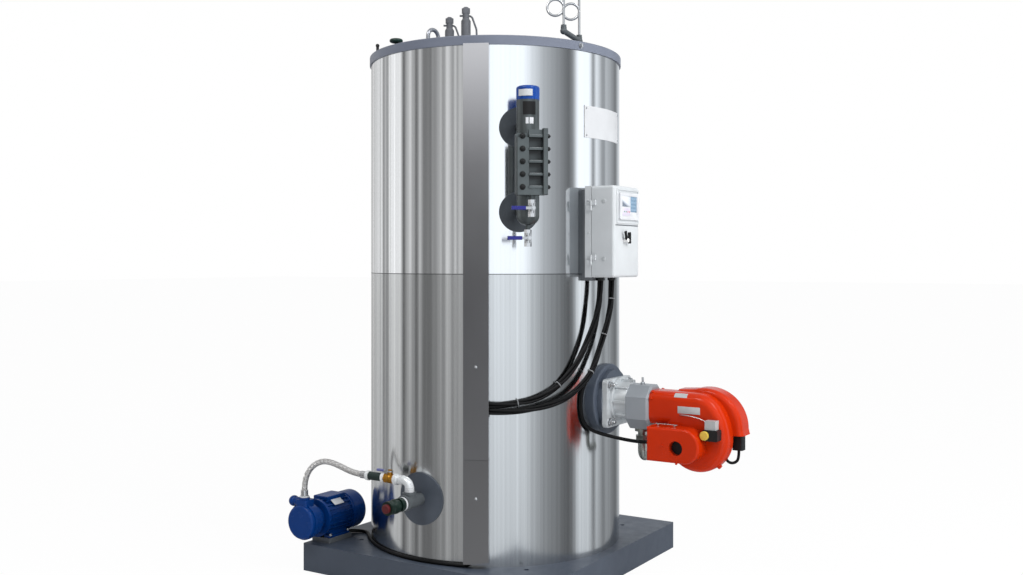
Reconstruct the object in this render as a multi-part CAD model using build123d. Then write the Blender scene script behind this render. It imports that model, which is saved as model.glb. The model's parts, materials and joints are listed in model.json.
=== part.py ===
from build123d import *
import math
import os

# All sizes in millimetres. Azimuth is in degrees, 0 at -Y and 90 at +X.

# Body
JACKET_R = 530.0
JACKET_WALL = 60.0
JACKET_TOP = 2131.0
SEAM_Z = 1228.0
SEAM_GAP = 1.0
CAP_LIP = 6.0
CAP_PLATE = 8.0
CAP_SKIRT = 36.0
CAP_EDGE = 4.0
FIT = 0.3
TRUNK_AZ = 25.7
TRUNK_WIDTH = 98.0
TRUNK_DEPTH = 34.0
TRUNK_WALL = 2.5
TRUNK_BOTTOM = 130.0
TRUNK_JOINT = 526.0
TRUNK_GAP = 1.0
PLATE_WIDTH = 285.0
PLATE_HEIGHT = 126.0
PLATE_Z = 1828.0
PLATE_THICK = 1.5
PLATE_FIT = 0.6

# Base
BASE_MARGIN = 45.0
BASE_SIDE = 2 * (JACKET_R + BASE_MARGIN)
BASE_HEIGHT = 112.0
BASE_CORNER = 6.0
ANCHOR_INSET = 170.0
ANCHOR_SPACING = BASE_SIDE - 2 * ANCHOR_INSET
ANCHOR_HOLE_R = 10.0

# Top fittings
TOP_Z = JACKET_TOP + CAP_PLATE
FLUE_R = 106.0
FLUE_WALL = 4.0
FLUE_HEIGHT = 72.0
FLUE_SUNK = 60.0
STEAM_AZ = 215.0
STEAM_OUT = JACKET_R - 200.0
STEAM_PIPE_R = 24.0
STEAM_BORE_R = 20.0
STEAM_FLANGE_R = 75.0
STEAM_FLANGE_THICK = 18.0
STEAM_RISE = 74.0
STEAM_PCD = 110.0
STEAM_HOLE_R = 9.0
SAFETY_NEAR = (-29.0, -181.0)
SAFETY_FAR = (-195.0, -67.0)
SAFETY_HEIGHT = 198.0
SAFETY_LEVER_AZ = 122.4
LUG_AZ = -6.0
LUG_OUT = JACKET_R - 135.0
LUG_WIDTH = 76.0
LUG_HEIGHT = 74.0
LUG_BAR_R = 8.0
VENT_AZ = -40.1
VENT_OUT = JACKET_R - 97.0
VENT_HEIGHT = 70.0
VENT_WHEEL_R = 28.0
VENT_LEVER = 78.0
VENT_GRIP = 46.0
SIPHON_OUT = JACKET_R - 98.0
SIPHON_AZ_RIGHT = 85.0
SIPHON_AZ_LEFT = 72.3
SIPHON_TUBE_R = 5.0
SIPHON_RING_R = 33.0
SIPHON_PITCH = 13.0
SIPHON_RING_Z = TOP_Z + 151.0
SIPHON_TOP_Z = SIPHON_RING_Z + 68.0
MANIFOLD_RIGHT = TOP_Z + 30.0
MANIFOLD_LEFT = TOP_Z + 56.0
MANIFOLD_NUT = 24.0
DIAL_CASE_R = 50.0
DIAL_RISE = 34.0
DIAL_AZ = 32.4
SWITCH_SIZE = (58.0, 50.0, 84.0)

# Level gauge
GAUGE_AZ = 43.0
COLUMN_OUT = 170.0
COLUMN_R = 42.0
COLUMN_NUT = 18.0
COLUMN_CAP = 51.0
GAUGE_PIPE_R = 17.0
GAUGE_UPPER_Z = 1787.0
GAUGE_LOWER_Z = 1465.0
COLUMN_TOP = GAUGE_UPPER_Z + 79.0
COLUMN_BOTTOM = GAUGE_LOWER_Z - 56.0
ROSETTE_R = 77.0
ROSETTE_THICK = 6.0
GAUGE_Z = (GAUGE_UPPER_Z + GAUGE_LOWER_Z) / 2 + 8.0
GAUGE_HEIGHT = GAUGE_UPPER_Z - GAUGE_LOWER_Z - 84.0
GAUGE_WIDTH = 112.0
GAUGE_SHIFT = -2.5
GAUGE_STANDOFF = 6.0
GAUGE_BODY_DEPTH = 28.0
COVER_PLATE = 12.0
COVER_BAR = 26.0
COVER_RIB = 18.0
COVER_TRIM = 16.0
WINDOW_SHIFT = 13.5
WINDOW_WIDTH = 50.0
WINDOW_BAR = 8.0
WINDOW_COUNT = 4
WINDOW_PITCH = (GAUGE_HEIGHT - 55.6) / WINDOW_COUNT
GLASS_DEPTH = 6.0
GLASS_EDGE = 2.0
COCK_NECK_R = 9.0
COCK_NECK = 16.0
COCK_SHIFT = 2.0
COCK_LENGTH = 62.0
COCK_R = 14.0
COCK_LEVER = 80.0

# Cabinet
CAB_STANDOFF = 15.0
CAB_Y = -92.0
CAB_WIDTH = 216.0
CAB_BOTTOM = 1215.0
CAB_HEIGHT = 353.0
CAB_TRAY = 28.0
CAB_DEPTH = 127.0
CAB_WALL = 2.5
CAB_SEAM = 2.0
CAB_EDGE = 11.0
BRACKET_INSET = 46.0
HINGE_OUT = 5.0
LEAF_THICK = 3.0
LEAF_FOOT = 6.0
HINGE_PIN_R = 2.0
HINGE_BARREL_R = 4.0
HINGE_LENGTH = 40.0
HINGE_HEIGHTS = (67.0, 278.0)
DISPLAY_WIDTH = 166.0
DISPLAY_HEIGHT = 104.0
DISPLAY_DEPTH = 8.0
SCREEN_SUNK = 2.0
DISPLAY_Y = CAB_Y + 10.5
DISPLAY_Z = CAB_BOTTOM + 275.0
LOCK_Y = CAB_Y - 6.0
LOCK_Z = CAB_BOTTOM + 159.0
GLAND_R = 13.5
GLAND_LENGTH = 14.0
GLAND_LEFT_Y = CAB_Y - 6.0
GLAND_RIGHT_Y = CAB_Y + 89.0
HARNESS_R = 12.0

# Burner
BURNER_Z = 725.0
COLLAR_R = 140.0
COLLAR_THICK = 24.0
DRUM_R = 118.0
DRUM_LENGTH = 42.0
FLANGE_WIDTH = 216.0
FLANGE_HEIGHT = 190.0
FLANGE_DROP = 8.0
FLANGE_THICK = 20.0
NECK_R = 72.0
NECK_LENGTH = 64.0
BLOCK_LENGTH = 95.0
BLOCK_WIDTH = 150.0
BLOCK_HEIGHT = 172.0
BLOCK_CHAMFER = 43.0
BLOCK_DROP = 20.0
DUCT_RISE = 50.0
DUCT_HEIGHT = 130.0
DUCT_LENGTH = 190.0
DUCT_BACK = 89.0
BURNER_FRONT = 62.0
SCROLL_BACK = 6.0
SCROLL_R = 127.0
SCROLL_RISE = 173.0
SCROLL_EDGE = 34.0
HOOD_R = 150.0
HOOD_WIDTH = 88.0
HOOD_DROP = 157.0
HOOD_EDGE = 20.0
AIR_BOX_START = 25.0
AIR_BOX_DROP = 18.0
AIR_BOX_LENGTH = 211.0
AIR_BOX_HEIGHT = 129.0
AIR_BOX_DEPTH = 78.0
AIR_HOLE_R = 27.0
AIR_HOLE_DEPTH = 34.0
SWITCH_DEPTH = 38.0
SWITCH_LEFT = 46.0
SWITCH_RIGHT = 105.0
SWITCH_RISES = (5.0, 46.0, 80.0)
PLUG_SIDE = 40.0
PLUG_HEIGHT = 58.0
GAS_PIPE_R = 17.0
GAS_DROP = 116.0
GAS_REACH = 95.0

# Feed line and pump
FEED_Z = 356.0
FEED_OUT = 70.0
FEED_PIPE_R = 24.0
FEED_ROSETTE_R = 102.0
FEED_RUN_Z = 436.0
TEE_R = 27.0
TEE_REACH = 40.0
BLOWDOWN_LENGTH = 96.0
LINE_R = 14.0
ELBOW_R = LINE_R + 3.0
ELBOW_BEND = 28.0
ELBOW_NUT = 16.0
CHECK_R = 16.0
CHECK_NUT_R = 19.0
CHECK_END = 13.0
TEE_RISE = 38.0
FEED_VALVE_X = -95.0
FEED_VALVE_LENGTH = 48.0
FEED_VALVE_R = 19.0
FEED_LEVER = 62.0
HOSE_START_X = -210.0
HOSE_R = 11.5
PUMP_X = -(JACKET_R + 10.0)
PUMP_Z = BASE_HEIGHT + 100.0
PUMP_FRONT = -(JACKET_R + 102.0)
HEAD_R = 69.0
HEAD_LENGTH = 64.0
NECK_BACK = 30.0
MOTOR_R = 78.0
MOTOR_CORE_R = 70.0
MOTOR_LENGTH = 160.0
FAN_COVER_LENGTH = 76.0
NOZZLE_RISE = 99.0
NOZZLE_TOP = PUMP_Z + NOZZLE_RISE
NOZZLE_Y = PUMP_FRONT + 29.0
PUMP_INLET = 57.0
PUMP_INLET_DROP = 21.0
MOTOR_FOOT = 46.0
TERMINAL_WIDTH = 76.0
TERMINAL_SUNK = 10.0
TERMINAL_HEIGHT = 18.0
PEDESTAL_THICK = 20.0
FIN_COUNT = 24

UP = (Align.CENTER, Align.CENTER, Align.MIN)
ALONG = (Align.MIN, Align.CENTER, Align.CENTER)
FLANGE_X = JACKET_R + DRUM_LENGTH
NECK_X = FLANGE_X + FLANGE_THICK
BLOCK_X = NECK_X + NECK_LENGTH
DUCT_X = BLOCK_X + BLOCK_LENGTH
SCROLL_X = DUCT_X + DUCT_LENGTH
DUCT_TOP = BURNER_Z + DUCT_RISE
SCROLL_Z = DUCT_TOP - SCROLL_RISE
CAB_BACK = JACKET_R + CAB_STANDOFF
CAB_SEAM_X = CAB_BACK + CAB_TRAY
CAB_FRONT = CAB_BACK + CAB_DEPTH
CAB_LEFT = CAB_Y - CAB_WIDTH / 2
HINGE_X = CAB_SEAM_X + CAB_SEAM / 2
HINGE_Y = CAB_LEFT - HINGE_OUT
TEE_Y = -(JACKET_R + FEED_OUT)
COLUMN_AT = JACKET_R + COLUMN_OUT
GAUGE_BACK = COLUMN_AT + COLUMN_R + GAUGE_STANDOFF
GAUGE_FACE = GAUGE_BACK + GAUGE_BODY_DEPTH
MOTOR_FRONT = PUMP_FRONT + HEAD_LENGTH + NECK_BACK
MOTOR_BACK = MOTOR_FRONT + MOTOR_LENGTH

# Cord routes as azimuth, radius, height
LEFT_HARNESS = [
    (79.7, 567, 1112), (78.6, 563, 1060),
    (77.0, 559, 1005), (74.6, 554, 950), (71.2, 549, 895), (66.8, 545, 845), (61.4, 543.5, 803),
    (55.0, 543, 770), (48.5, 543, 747), (42.0, 543, 736), (36.0, 543, 732), (31.0, 545, 731),
    (27.0, 547, 731),
]
RIGHT_HARNESS = [
    (89.8, 560, 1110), (88.2, 558, 1055),
    (86.3, 557, 1000), (83.8, 557, 945), (80.5, 558, 890), (76.2, 560, 838), (70.8, 562, 794),
    (64.5, 562.5, 760), (57.5, 562.5, 735), (50.5, 562, 719), (43.5, 560, 711), (37.0, 556, 708),
    (31.4, 550, 707), (27.6, 547, 707),
]
BURNER_LEAD = [
    (74.8, 538.5, 806), (72.7, 537.5, 778), (71.8, 537.5, 745), (71.6, 537.5, 710), (72.0, 537.5, 675),
    (73.4, 538.5, 642), (76.2, 543, 617), (79.6, 553, 601),
]
BURNER_LEAD_END = [
    (578, -76, 589), (617, -65, 581), (658, -65, 577), (700, -76, 577), (738, -90, 580), (770, -94, 582),
]
PUMP_LEAD_START = [
    (-532, 0, 121), (-532, 24, 121), (-522, 48, 120.5), (-503, 66, 120), (-479, 75, 119.5), (-453, 73, 119.5),
    (-430, 61, 119.5),
]
PUMP_LEAD = [
    (-48.0, 540, 119.5), (-43.0, 539, 119.5), (-37.5, 538.5, 119.5), (-31.5, 538, 119.5),
    (-25.0, 538, 119.5), (-18.5, 538, 119.5), (-12.0, 538, 119.5), (-5.5, 538, 119.5), (1.0, 538, 119.5),
    (7.5, 538, 119.5), (12.5, 539, 119.5), (17.0, 540.7, 119.5), (21.06, 542.5, 119.5), (23.19, 544.5, 127.9),
    (24.82, 546, 143.3), (25.7, 547, 163.6), (25.75, 547, 186),
]
PLUG_LEAD = [
    (0, 0, 0), (0, 0, -34.5), (-12, -8.8, -49.4), (-29, -21.2, -49.4), (-41, -30, -34.5), (-41, -30, -15),
]
HOSE = [
    (HOSE_START_X, TEE_Y, FEED_RUN_Z), (-254, TEE_Y, FEED_RUN_Z), (-302, -600, 443), (-350, -600, 457),
    (-398, -600, 468), (-442, -600, 468), (-482, -601, 453), (-514, -602, 426), (-533, -603, 391),
    (PUMP_X, NOZZLE_Y, NOZZLE_TOP + 40), (PUMP_X, NOZZLE_Y, NOZZLE_TOP),
]
HARNESS_LEAD_R = 7.0
PUMP_LEAD_R = 7.0
PLUG_LEAD_R = 5.5
LEAD_BOSS = 22.0


def outward(azimuth):
    """The level direction away from the boiler axis."""
    angle = math.radians(azimuth)
    return Vector(math.sin(angle), -math.cos(angle), 0)


def radial(azimuth, radius, height):
    """A plane facing outward: x to the right seen from outside, y up, z outward."""
    out = outward(azimuth)
    return Plane(origin=out * radius + Vector(0, 0, height), x_dir=Vector(-out.Y, out.X, 0), z_dir=out)


def at(azimuth, radius, height):
    """A point given as azimuth, radius and height."""
    return outward(azimuth) * radius + Vector(0, 0, height)


def rod(start, end, radius):
    """A round bar between two points."""
    along = Vector(*end) - Vector(*start)
    return Plane(origin=Vector(*start), z_dir=along) * Cylinder(radius, along.length, align=UP)


def span(low, high):
    """A box between two corners."""
    size = [b - a for a, b in zip(low, high)]
    return Pos(*low) * Box(*size, align=(Align.MIN, Align.MIN, Align.MIN))


def body_core(radius):
    """The round space that the jacket fills."""
    return Cylinder(radius, TOP_Z * 1.5, align=UP)


def hexagon(width, height):
    """A hexagonal bar standing up, by its width across flats."""
    return extrude(RegularPolygon(width / math.sqrt(3), 6), height)


def bend_radii(points):
    """The largest even bend that each corner of a route leaves room for."""
    radii = []
    for before, here, after in zip(points, points[1:], points[2:]):
        first = here - before
        second = after - here
        turn = math.radians(first.get_angle(second))
        radii.append(0.45 * min(first.length, second.length) / math.tan(turn / 2))
    return radii


def cord(name, points, radius):
    """A round cord through points, with tangent bends."""
    points = [Vector(*p) for p in points]
    radii = bend_radii(points)
    print(name, "bends from", round(min(radii)), "to", round(max(radii)), "mm")
    path = FilletPolyline(*points, radius=radii)
    return sweep(Plane(origin=path @ 0, z_dir=path % 0) * Circle(radius), path=path)


def base_frame():
    body = Box(BASE_SIDE, BASE_SIDE, BASE_HEIGHT, align=UP)
    body = fillet(body.edges().filter_by(Axis.Z), BASE_CORNER)
    for x in (-ANCHOR_SPACING / 2, ANCHOR_SPACING / 2):
        for y in (-ANCHOR_SPACING / 2, ANCHOR_SPACING / 2):
            body -= Pos(x, y, 0) * Cylinder(ANCHOR_HOLE_R, BASE_HEIGHT, align=UP)
    return body


def nozzle_holes():
    """The holes under the rosettes and the burner collar."""
    reach = JACKET_R * 1.2
    holes = radial(0, 0, FEED_Z) * Cylinder(FEED_PIPE_R + FIT, reach, align=UP)
    for height in (GAUGE_UPPER_Z, GAUGE_LOWER_Z):
        holes += radial(GAUGE_AZ, 0, height) * Cylinder(GAUGE_PIPE_R + FIT, reach, align=UP)
    holes += radial(90, 0, BURNER_Z) * Cylinder(DRUM_R + FIT, reach, align=UP)
    return holes


def jacket(low, high):
    height = high - low
    tube = Cylinder(JACKET_R, height, align=UP) - Cylinder(JACKET_R - JACKET_WALL, height, align=UP)
    return Pos(0, 0, low) * tube - nozzle_holes()


def lower_cladding():
    return jacket(BASE_HEIGHT, SEAM_Z - SEAM_GAP)


def upper_cladding():
    return jacket(SEAM_Z, JACKET_TOP)


def top_cap():
    rim = Pos(0, 0, TOP_Z - CAP_SKIRT) * Cylinder(JACKET_R + CAP_LIP, CAP_SKIRT, align=UP)
    rim = fillet(rim.edges().group_by(Axis.Z)[-1], CAP_EDGE)
    rim -= Pos(0, 0, TOP_Z - CAP_SKIRT) * Cylinder(JACKET_R + FIT, CAP_SKIRT - CAP_PLATE, align=UP)
    rim -= Pos(0, 0, JACKET_TOP) * Cylinder(FLUE_R + FIT, CAP_PLATE, align=UP)
    steam = at(STEAM_AZ, STEAM_OUT, JACKET_TOP)
    return rim - Pos(*steam) * Cylinder(STEAM_PIPE_R + FIT, CAP_PLATE, align=UP)


def flue_collar():
    low = TOP_Z - FLUE_SUNK
    tube = Pos(0, 0, low) * Cylinder(FLUE_R, FLUE_SUNK + FLUE_HEIGHT, align=UP)
    tube += Pos(0, 0, TOP_Z) * Cylinder(FLUE_R + 26, 6, align=UP)
    tube += Pos(0, 0, TOP_Z + FLUE_HEIGHT - 10) * Cylinder(FLUE_R + 5, 10, align=UP)
    return tube - Pos(0, 0, low + FLUE_WALL) * Cylinder(FLUE_R - FLUE_WALL, FLUE_SUNK + FLUE_HEIGHT, align=UP)


def steam_outlet():
    pipe = Pos(0, 0, -40) * Cylinder(STEAM_PIPE_R, 40 + STEAM_RISE, align=UP)
    pipe += Cylinder(STEAM_PIPE_R + 12, 6, align=UP)
    flange = Cylinder(STEAM_FLANGE_R, STEAM_FLANGE_THICK, align=UP)
    for hole in PolarLocations(STEAM_PCD / 2, 4, start_angle=45):
        flange -= hole * Cylinder(STEAM_HOLE_R, STEAM_FLANGE_THICK, align=UP)
    face = Pos(0, 0, STEAM_RISE) * Cylinder(STEAM_PIPE_R + 18, 2, align=UP)
    pipe += Pos(0, 0, STEAM_RISE - STEAM_FLANGE_THICK) * flange + face
    pipe -= Pos(0, 0, -30) * Cylinder(STEAM_BORE_R, 40 + STEAM_RISE, align=UP)
    return Pos(*at(STEAM_AZ, STEAM_OUT, TOP_Z)) * pipe


def trunking(low, high, closed):
    """A folded channel that stands on the cladding, open at the back."""
    height = high - low
    middle = (Align.CENTER, Align.MIN, Align.CENTER)
    channel = Box(TRUNK_WIDTH, height, 2 * TRUNK_DEPTH, align=middle)
    lid = TRUNK_WALL if closed else 0
    inner = Box(TRUNK_WIDTH - 2 * TRUNK_WALL, height - lid, 2 * (TRUNK_DEPTH - TRUNK_WALL), align=middle)
    return radial(TRUNK_AZ, JACKET_R, low) * (channel - inner) - body_core(JACKET_R + FIT)


def trunking_lower():
    return trunking(TRUNK_BOTTOM, TRUNK_JOINT - TRUNK_GAP, False)


def trunking_upper():
    channel = trunking(TRUNK_JOINT, TOP_Z - CAP_SKIRT - TRUNK_GAP, True)
    slot_middle = (LEFT_HARNESS[-1][2] + RIGHT_HARNESS[-1][2]) / 2
    slot = Pos(TRUNK_WIDTH / 2, 0, 0) * Box(4 * TRUNK_WALL, 62, 2 * (TRUNK_DEPTH - TRUNK_WALL))
    return channel - radial(TRUNK_AZ, JACKET_R, slot_middle) * slot


def name_plate():
    sheet = body_core(JACKET_R + PLATE_FIT + PLATE_THICK) - body_core(JACKET_R + PLATE_FIT)
    low = (0, -PLATE_WIDTH / 2, PLATE_Z - PLATE_HEIGHT / 2)
    return sheet & span(low, (JACKET_R * 1.2, PLATE_WIDTH / 2, PLATE_Z + PLATE_HEIGHT / 2))


def rosette(azimuth, height, radius, hole):
    """A round plate that lies on the cladding."""
    reach = JACKET_R * 1.2
    sheet = body_core(JACKET_R + FIT + ROSETTE_THICK) - body_core(JACKET_R + FIT)
    disc = Cylinder(radius, reach, align=UP) - Cylinder(hole + FIT, reach, align=UP)
    return sheet & radial(azimuth, 0, height) * disc


def rosettes():
    feed = rosette(0, FEED_Z, FEED_ROSETTE_R, FEED_PIPE_R)
    upper = rosette(GAUGE_AZ, GAUGE_UPPER_Z, ROSETTE_R, GAUGE_PIPE_R)
    lower = rosette(GAUGE_AZ, GAUGE_LOWER_Z, ROSETTE_R, GAUGE_PIPE_R)
    return Compound(children=[feed, upper, lower])


def safety_valve(x, y):
    top = SAFETY_HEIGHT
    valve = hexagon(42, 22)
    valve += Pos(0, 0, 22) * Cylinder(17, 40, align=UP)
    valve += Pos(0, 0, 60) * Cylinder(25, 10, align=UP)
    bell = Pos(0, 0, 70) * Cylinder(20, top - 128, align=UP)
    valve += bell + Pos(0, 0, top - 58) * Cone(20, 14, 10, align=UP)
    valve += Pos(0, 0, top - 50) * Cylinder(14, 24, align=UP)
    valve += Pos(0, 0, top - 27) * hexagon(30, 22)
    valve += Pos(0, 0, top - 6) * Cone(13, 9, 6, align=UP)
    valve += rod((0, 0, 44), (-46, 0, 44), 15)
    bends = [(-26, 0, top - 36), (24, 0, top - 36), (44, 0, top - 92), (46, 0, top - 140)]
    lever = FilletPolyline(*bends, radius=[18, 30])
    valve += sweep(Plane(origin=lever @ 0, z_dir=lever % 0) * Circle(4), path=lever)
    return Pos(x, y, TOP_Z) * Rot(0, 0, SAFETY_LEVER_AZ - 90) * valve


def safety_valves():
    return Compound(children=[safety_valve(*SAFETY_NEAR), safety_valve(*SAFETY_FAR)])


def lifting_lug(azimuth):
    half = LUG_WIDTH / 2 - LUG_BAR_R
    high = LUG_HEIGHT - LUG_BAR_R
    points = [(0, -half, 0), (0, -half, high), (0, half, high), (0, half, 0)]
    bar = FilletPolyline(*points, radius=half * 0.95)
    lug = sweep(Plane(origin=bar @ 0, z_dir=bar % 0) * Circle(LUG_BAR_R), path=bar)
    return Pos(*at(azimuth, LUG_OUT, TOP_Z)) * Rot(0, 0, azimuth) * lug


def lifting_lugs():
    return Compound(children=[lifting_lug(LUG_AZ), lifting_lug(LUG_AZ + 180)])


def vent_valve():
    wheel_z = VENT_HEIGHT - 11
    valve = hexagon(30, 14) + Pos(0, 0, 14) * Cylinder(12, 18, align=UP)
    valve += rod((-26, 0, 23), (26, 0, 23), 11)
    valve += Pos(0, 0, 30) * hexagon(24, 10)
    valve += Pos(0, 0, 38) * Cylinder(6, wheel_z - 38, align=UP)
    valve += Pos(0, 0, wheel_z) * Torus(VENT_WHEEL_R - 8, 8)
    valve += Pos(0, 0, wheel_z - 4) * Cylinder(10, 12, align=UP)
    for turn in (0, 60, 120):
        valve += Pos(0, 0, wheel_z) * Rot(0, 0, turn) * Box(2 * VENT_WHEEL_R - 14, 6, 6)
    valve += rod((-20, 0, 23), (-VENT_LEVER, 0, 9), 6)
    valve += Pos(-VENT_LEVER, 0, 9) * (Sphere(7) + Cylinder(6, VENT_GRIP - 16, align=UP))
    valve += Pos(-VENT_LEVER, 0, VENT_GRIP - 7) * Sphere(8)
    return Pos(*at(VENT_AZ, VENT_OUT, TOP_Z)) * Rot(0, 0, 32.4) * valve


def siphon(azimuth, foot_z):
    """A coil siphon: stem, one turn facing the viewer's side, stem."""
    foot = at(azimuth, SIPHON_OUT, 0)
    ring = SIPHON_RING_R
    step = SIPHON_PITCH / 2
    low_stem = rod((0, -step, foot_z), (0, -step, SIPHON_RING_Z), SIPHON_TUBE_R)
    high_stem = rod((0, step, SIPHON_RING_Z), (0, step, SIPHON_TOP_Z), SIPHON_TUBE_R)
    turn = Helix(SIPHON_PITCH, SIPHON_PITCH, ring)
    coil = sweep(Plane(origin=turn @ 0, z_dir=turn % 0) * Circle(SIPHON_TUBE_R), path=turn, is_frenet=True)
    coil = Pos(-ring, -step, SIPHON_RING_Z) * Rot(-90, 0, 0) * coil
    tube = low_stem + coil + high_stem
    for side in (-step, step):
        tube += Pos(0, side, SIPHON_RING_Z) * Sphere(SIPHON_TUBE_R)
    return Pos(foot.X, foot.Y, 0) * Rot(0, 0, 30) * tube


def siphon_tubes():
    right = siphon(SIPHON_AZ_RIGHT, MANIFOLD_RIGHT + MANIFOLD_NUT)
    left = siphon(SIPHON_AZ_LEFT, MANIFOLD_LEFT + MANIFOLD_NUT)
    return Compound(children=[right, left])


def siphon_foot(azimuth, side):
    """The point where a siphon stem starts or ends."""
    return at(azimuth, SIPHON_OUT, 0) + Vector(0, side * SIPHON_PITCH / 2, 0).rotate(Axis.Z, 30)


def siphon_manifold():
    right = siphon_foot(SIPHON_AZ_RIGHT, -1) + Vector(0, 0, MANIFOLD_RIGHT)
    left = siphon_foot(SIPHON_AZ_LEFT, -1) + Vector(0, 0, MANIFOLD_LEFT)
    pipe = Pos(right.X, right.Y, TOP_Z) * (hexagon(34, 20) + Cylinder(11, MANIFOLD_RIGHT - TOP_Z, align=UP))
    pipe += rod(right, left, 11)
    for point in (right, left):
        pipe += Pos(point) * Sphere(14)
        pipe += Pos(point) * Cylinder(12, MANIFOLD_NUT - 8, align=UP)
        pipe += Pos(point) * Pos(0, 0, MANIFOLD_NUT - 10) * hexagon(22, 10)
    return pipe


def pressure_gauge():
    foot = siphon_foot(SIPHON_AZ_LEFT, 1)
    stem = Pos(foot.X, foot.Y, SIPHON_TOP_Z) * (hexagon(22, 16) + Cylinder(8, 40, align=UP))
    centre = (foot.X, foot.Y, SIPHON_TOP_Z + DIAL_RISE + DIAL_CASE_R)
    out = outward(DIAL_AZ)
    face = Plane(origin=centre, x_dir=Vector(-out.Y, out.X, 0), z_dir=out)
    case = Pos(0, 0, -16) * Cylinder(DIAL_CASE_R, 36, align=UP)
    case = chamfer(case.edges().group_by(Axis.Z)[-1], 3)
    case -= Pos(0, 0, 16) * Cylinder(DIAL_CASE_R - 5, 10, align=UP)
    return stem + face * case


def pressure_switch():
    foot = siphon_foot(SIPHON_AZ_RIGHT, 1)
    stem = hexagon(22, 16) + Cylinder(8, 30, align=UP) + Pos(0, 0, 16) * Cylinder(19, 16, align=UP)
    box = Box(*SWITCH_SIZE, align=UP)
    box = fillet(box.edges().filter_by(Axis.Z), 6)
    return Pos(foot.X, foot.Y, SIPHON_TOP_Z) * Rot(0, 0, 30) * (stem + Pos(0, 0, 30) * box)


def level_column():
    tube = Pos(0, 0, COLUMN_BOTTOM) * Cylinder(COLUMN_R, COLUMN_TOP - COLUMN_BOTTOM, align=UP)
    tube = fillet(tube.edges().group_by(Axis.Z)[0], COLUMN_R * 0.82)
    tube = Pos(*at(GAUGE_AZ, COLUMN_AT, 0)) * tube
    for height in (GAUGE_UPPER_Z, GAUGE_LOWER_Z):
        tube += rod(at(GAUGE_AZ, JACKET_R - 40, height), at(GAUGE_AZ, COLUMN_AT, height), GAUGE_PIPE_R)
        nut = at(GAUGE_AZ, COLUMN_AT - COLUMN_R - COLUMN_NUT, height)
        tube += rod(nut, at(GAUGE_AZ, COLUMN_AT, height), GAUGE_PIPE_R + 6)
    for height in (GAUGE_Z - GAUGE_HEIGHT * 0.36, GAUGE_Z + GAUGE_HEIGHT * 0.36):
        tube += rod(at(GAUGE_AZ, COLUMN_AT, height), at(GAUGE_AZ, GAUGE_BACK, height), GAUGE_PIPE_R)
    foot = at(GAUGE_AZ, COLUMN_AT, COLUMN_BOTTOM - COCK_NECK)
    return tube + Pos(*foot) * Cylinder(COCK_NECK_R, 2 * COCK_NECK, align=UP)


def column_cap():
    cap = Cylinder(COLUMN_R + 1, COLUMN_CAP, align=UP)
    cap = fillet(cap.edges().group_by(Axis.Z)[-1], 10)
    return Pos(*at(GAUGE_AZ, COLUMN_AT, COLUMN_TOP)) * cap


def gauge_plane(depth):
    """The plate gauge's middle at a distance from the boiler axis."""
    return radial(GAUGE_AZ, depth, GAUGE_Z) * Pos(GAUGE_SHIFT, 0, 0)


def glass_size():
    return WINDOW_WIDTH + 2 * GLASS_EDGE, WINDOW_COUNT * WINDOW_PITCH + 2 * GLASS_EDGE


def gauge_body():
    high = GAUGE_HEIGHT - COVER_TRIM
    block = Pos(0, -COVER_TRIM / 2, 0) * Box(GAUGE_WIDTH, high, GAUGE_BODY_DEPTH, align=UP)
    block = fillet(block.edges().filter_by(Axis.Z), 6)
    width, height = glass_size()
    seat = Box(width + 2 * FIT, height + 2 * FIT, GLASS_DEPTH, align=UP)
    block -= Pos(WINDOW_SHIFT, 0, GAUGE_BODY_DEPTH - GLASS_DEPTH) * seat
    neck = rod((0, -GAUGE_HEIGHT / 2 - COCK_NECK, 0), (0, -GAUGE_HEIGHT / 2 + 10, 0), COCK_NECK_R)
    block += Pos(COCK_SHIFT - GAUGE_SHIFT, 0, GAUGE_BODY_DEPTH / 2) * neck
    return gauge_plane(GAUGE_BACK) * block


def gauge_glass():
    width, height = glass_size()
    glass = Box(width, height, GLASS_DEPTH, align=UP)
    return gauge_plane(GAUGE_FACE - GLASS_DEPTH) * Pos(WINDOW_SHIFT, 0, 0) * glass


def gauge_cover():
    """A flange plate, a tall side bar and the ribs across the glass."""
    left = WINDOW_SHIFT - WINDOW_WIDTH / 2
    right = WINDOW_SHIFT + WINDOW_WIDTH / 2
    low = -GAUGE_HEIGHT / 2
    rails = WINDOW_COUNT * WINDOW_PITCH / 2
    plate = span((-GAUGE_WIDTH / 2, low, 0), (left, GAUGE_HEIGHT / 2 - 2 * COVER_TRIM, COVER_PLATE))
    frame = chamfer(plate.edges().filter_by(Axis.Y).group_by(Axis.Z)[-1].group_by(Axis.X)[0], 3)
    bar = span((right, low, 0), (GAUGE_WIDTH / 2, GAUGE_HEIGHT / 2, COVER_BAR))
    frame += chamfer(bar.edges().group_by(Axis.Z)[-1], 2)
    for index in range(WINDOW_COUNT + 1):
        middle = -rails + index * WINDOW_PITCH
        frame += span((left, middle - WINDOW_BAR / 2, 0), (right, middle + WINDOW_BAR / 2, COVER_RIB))
    frame += span((left, rails + WINDOW_BAR, 0), (right, GAUGE_HEIGHT / 2 - 4, COVER_PLATE))
    frame += span((left, rails, 0), (right, rails + 2 * WINDOW_BAR, COVER_PLATE))
    frame += span((left, low, 0), (right, -rails, COVER_PLATE))
    return gauge_plane(GAUGE_FACE) * frame


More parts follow.
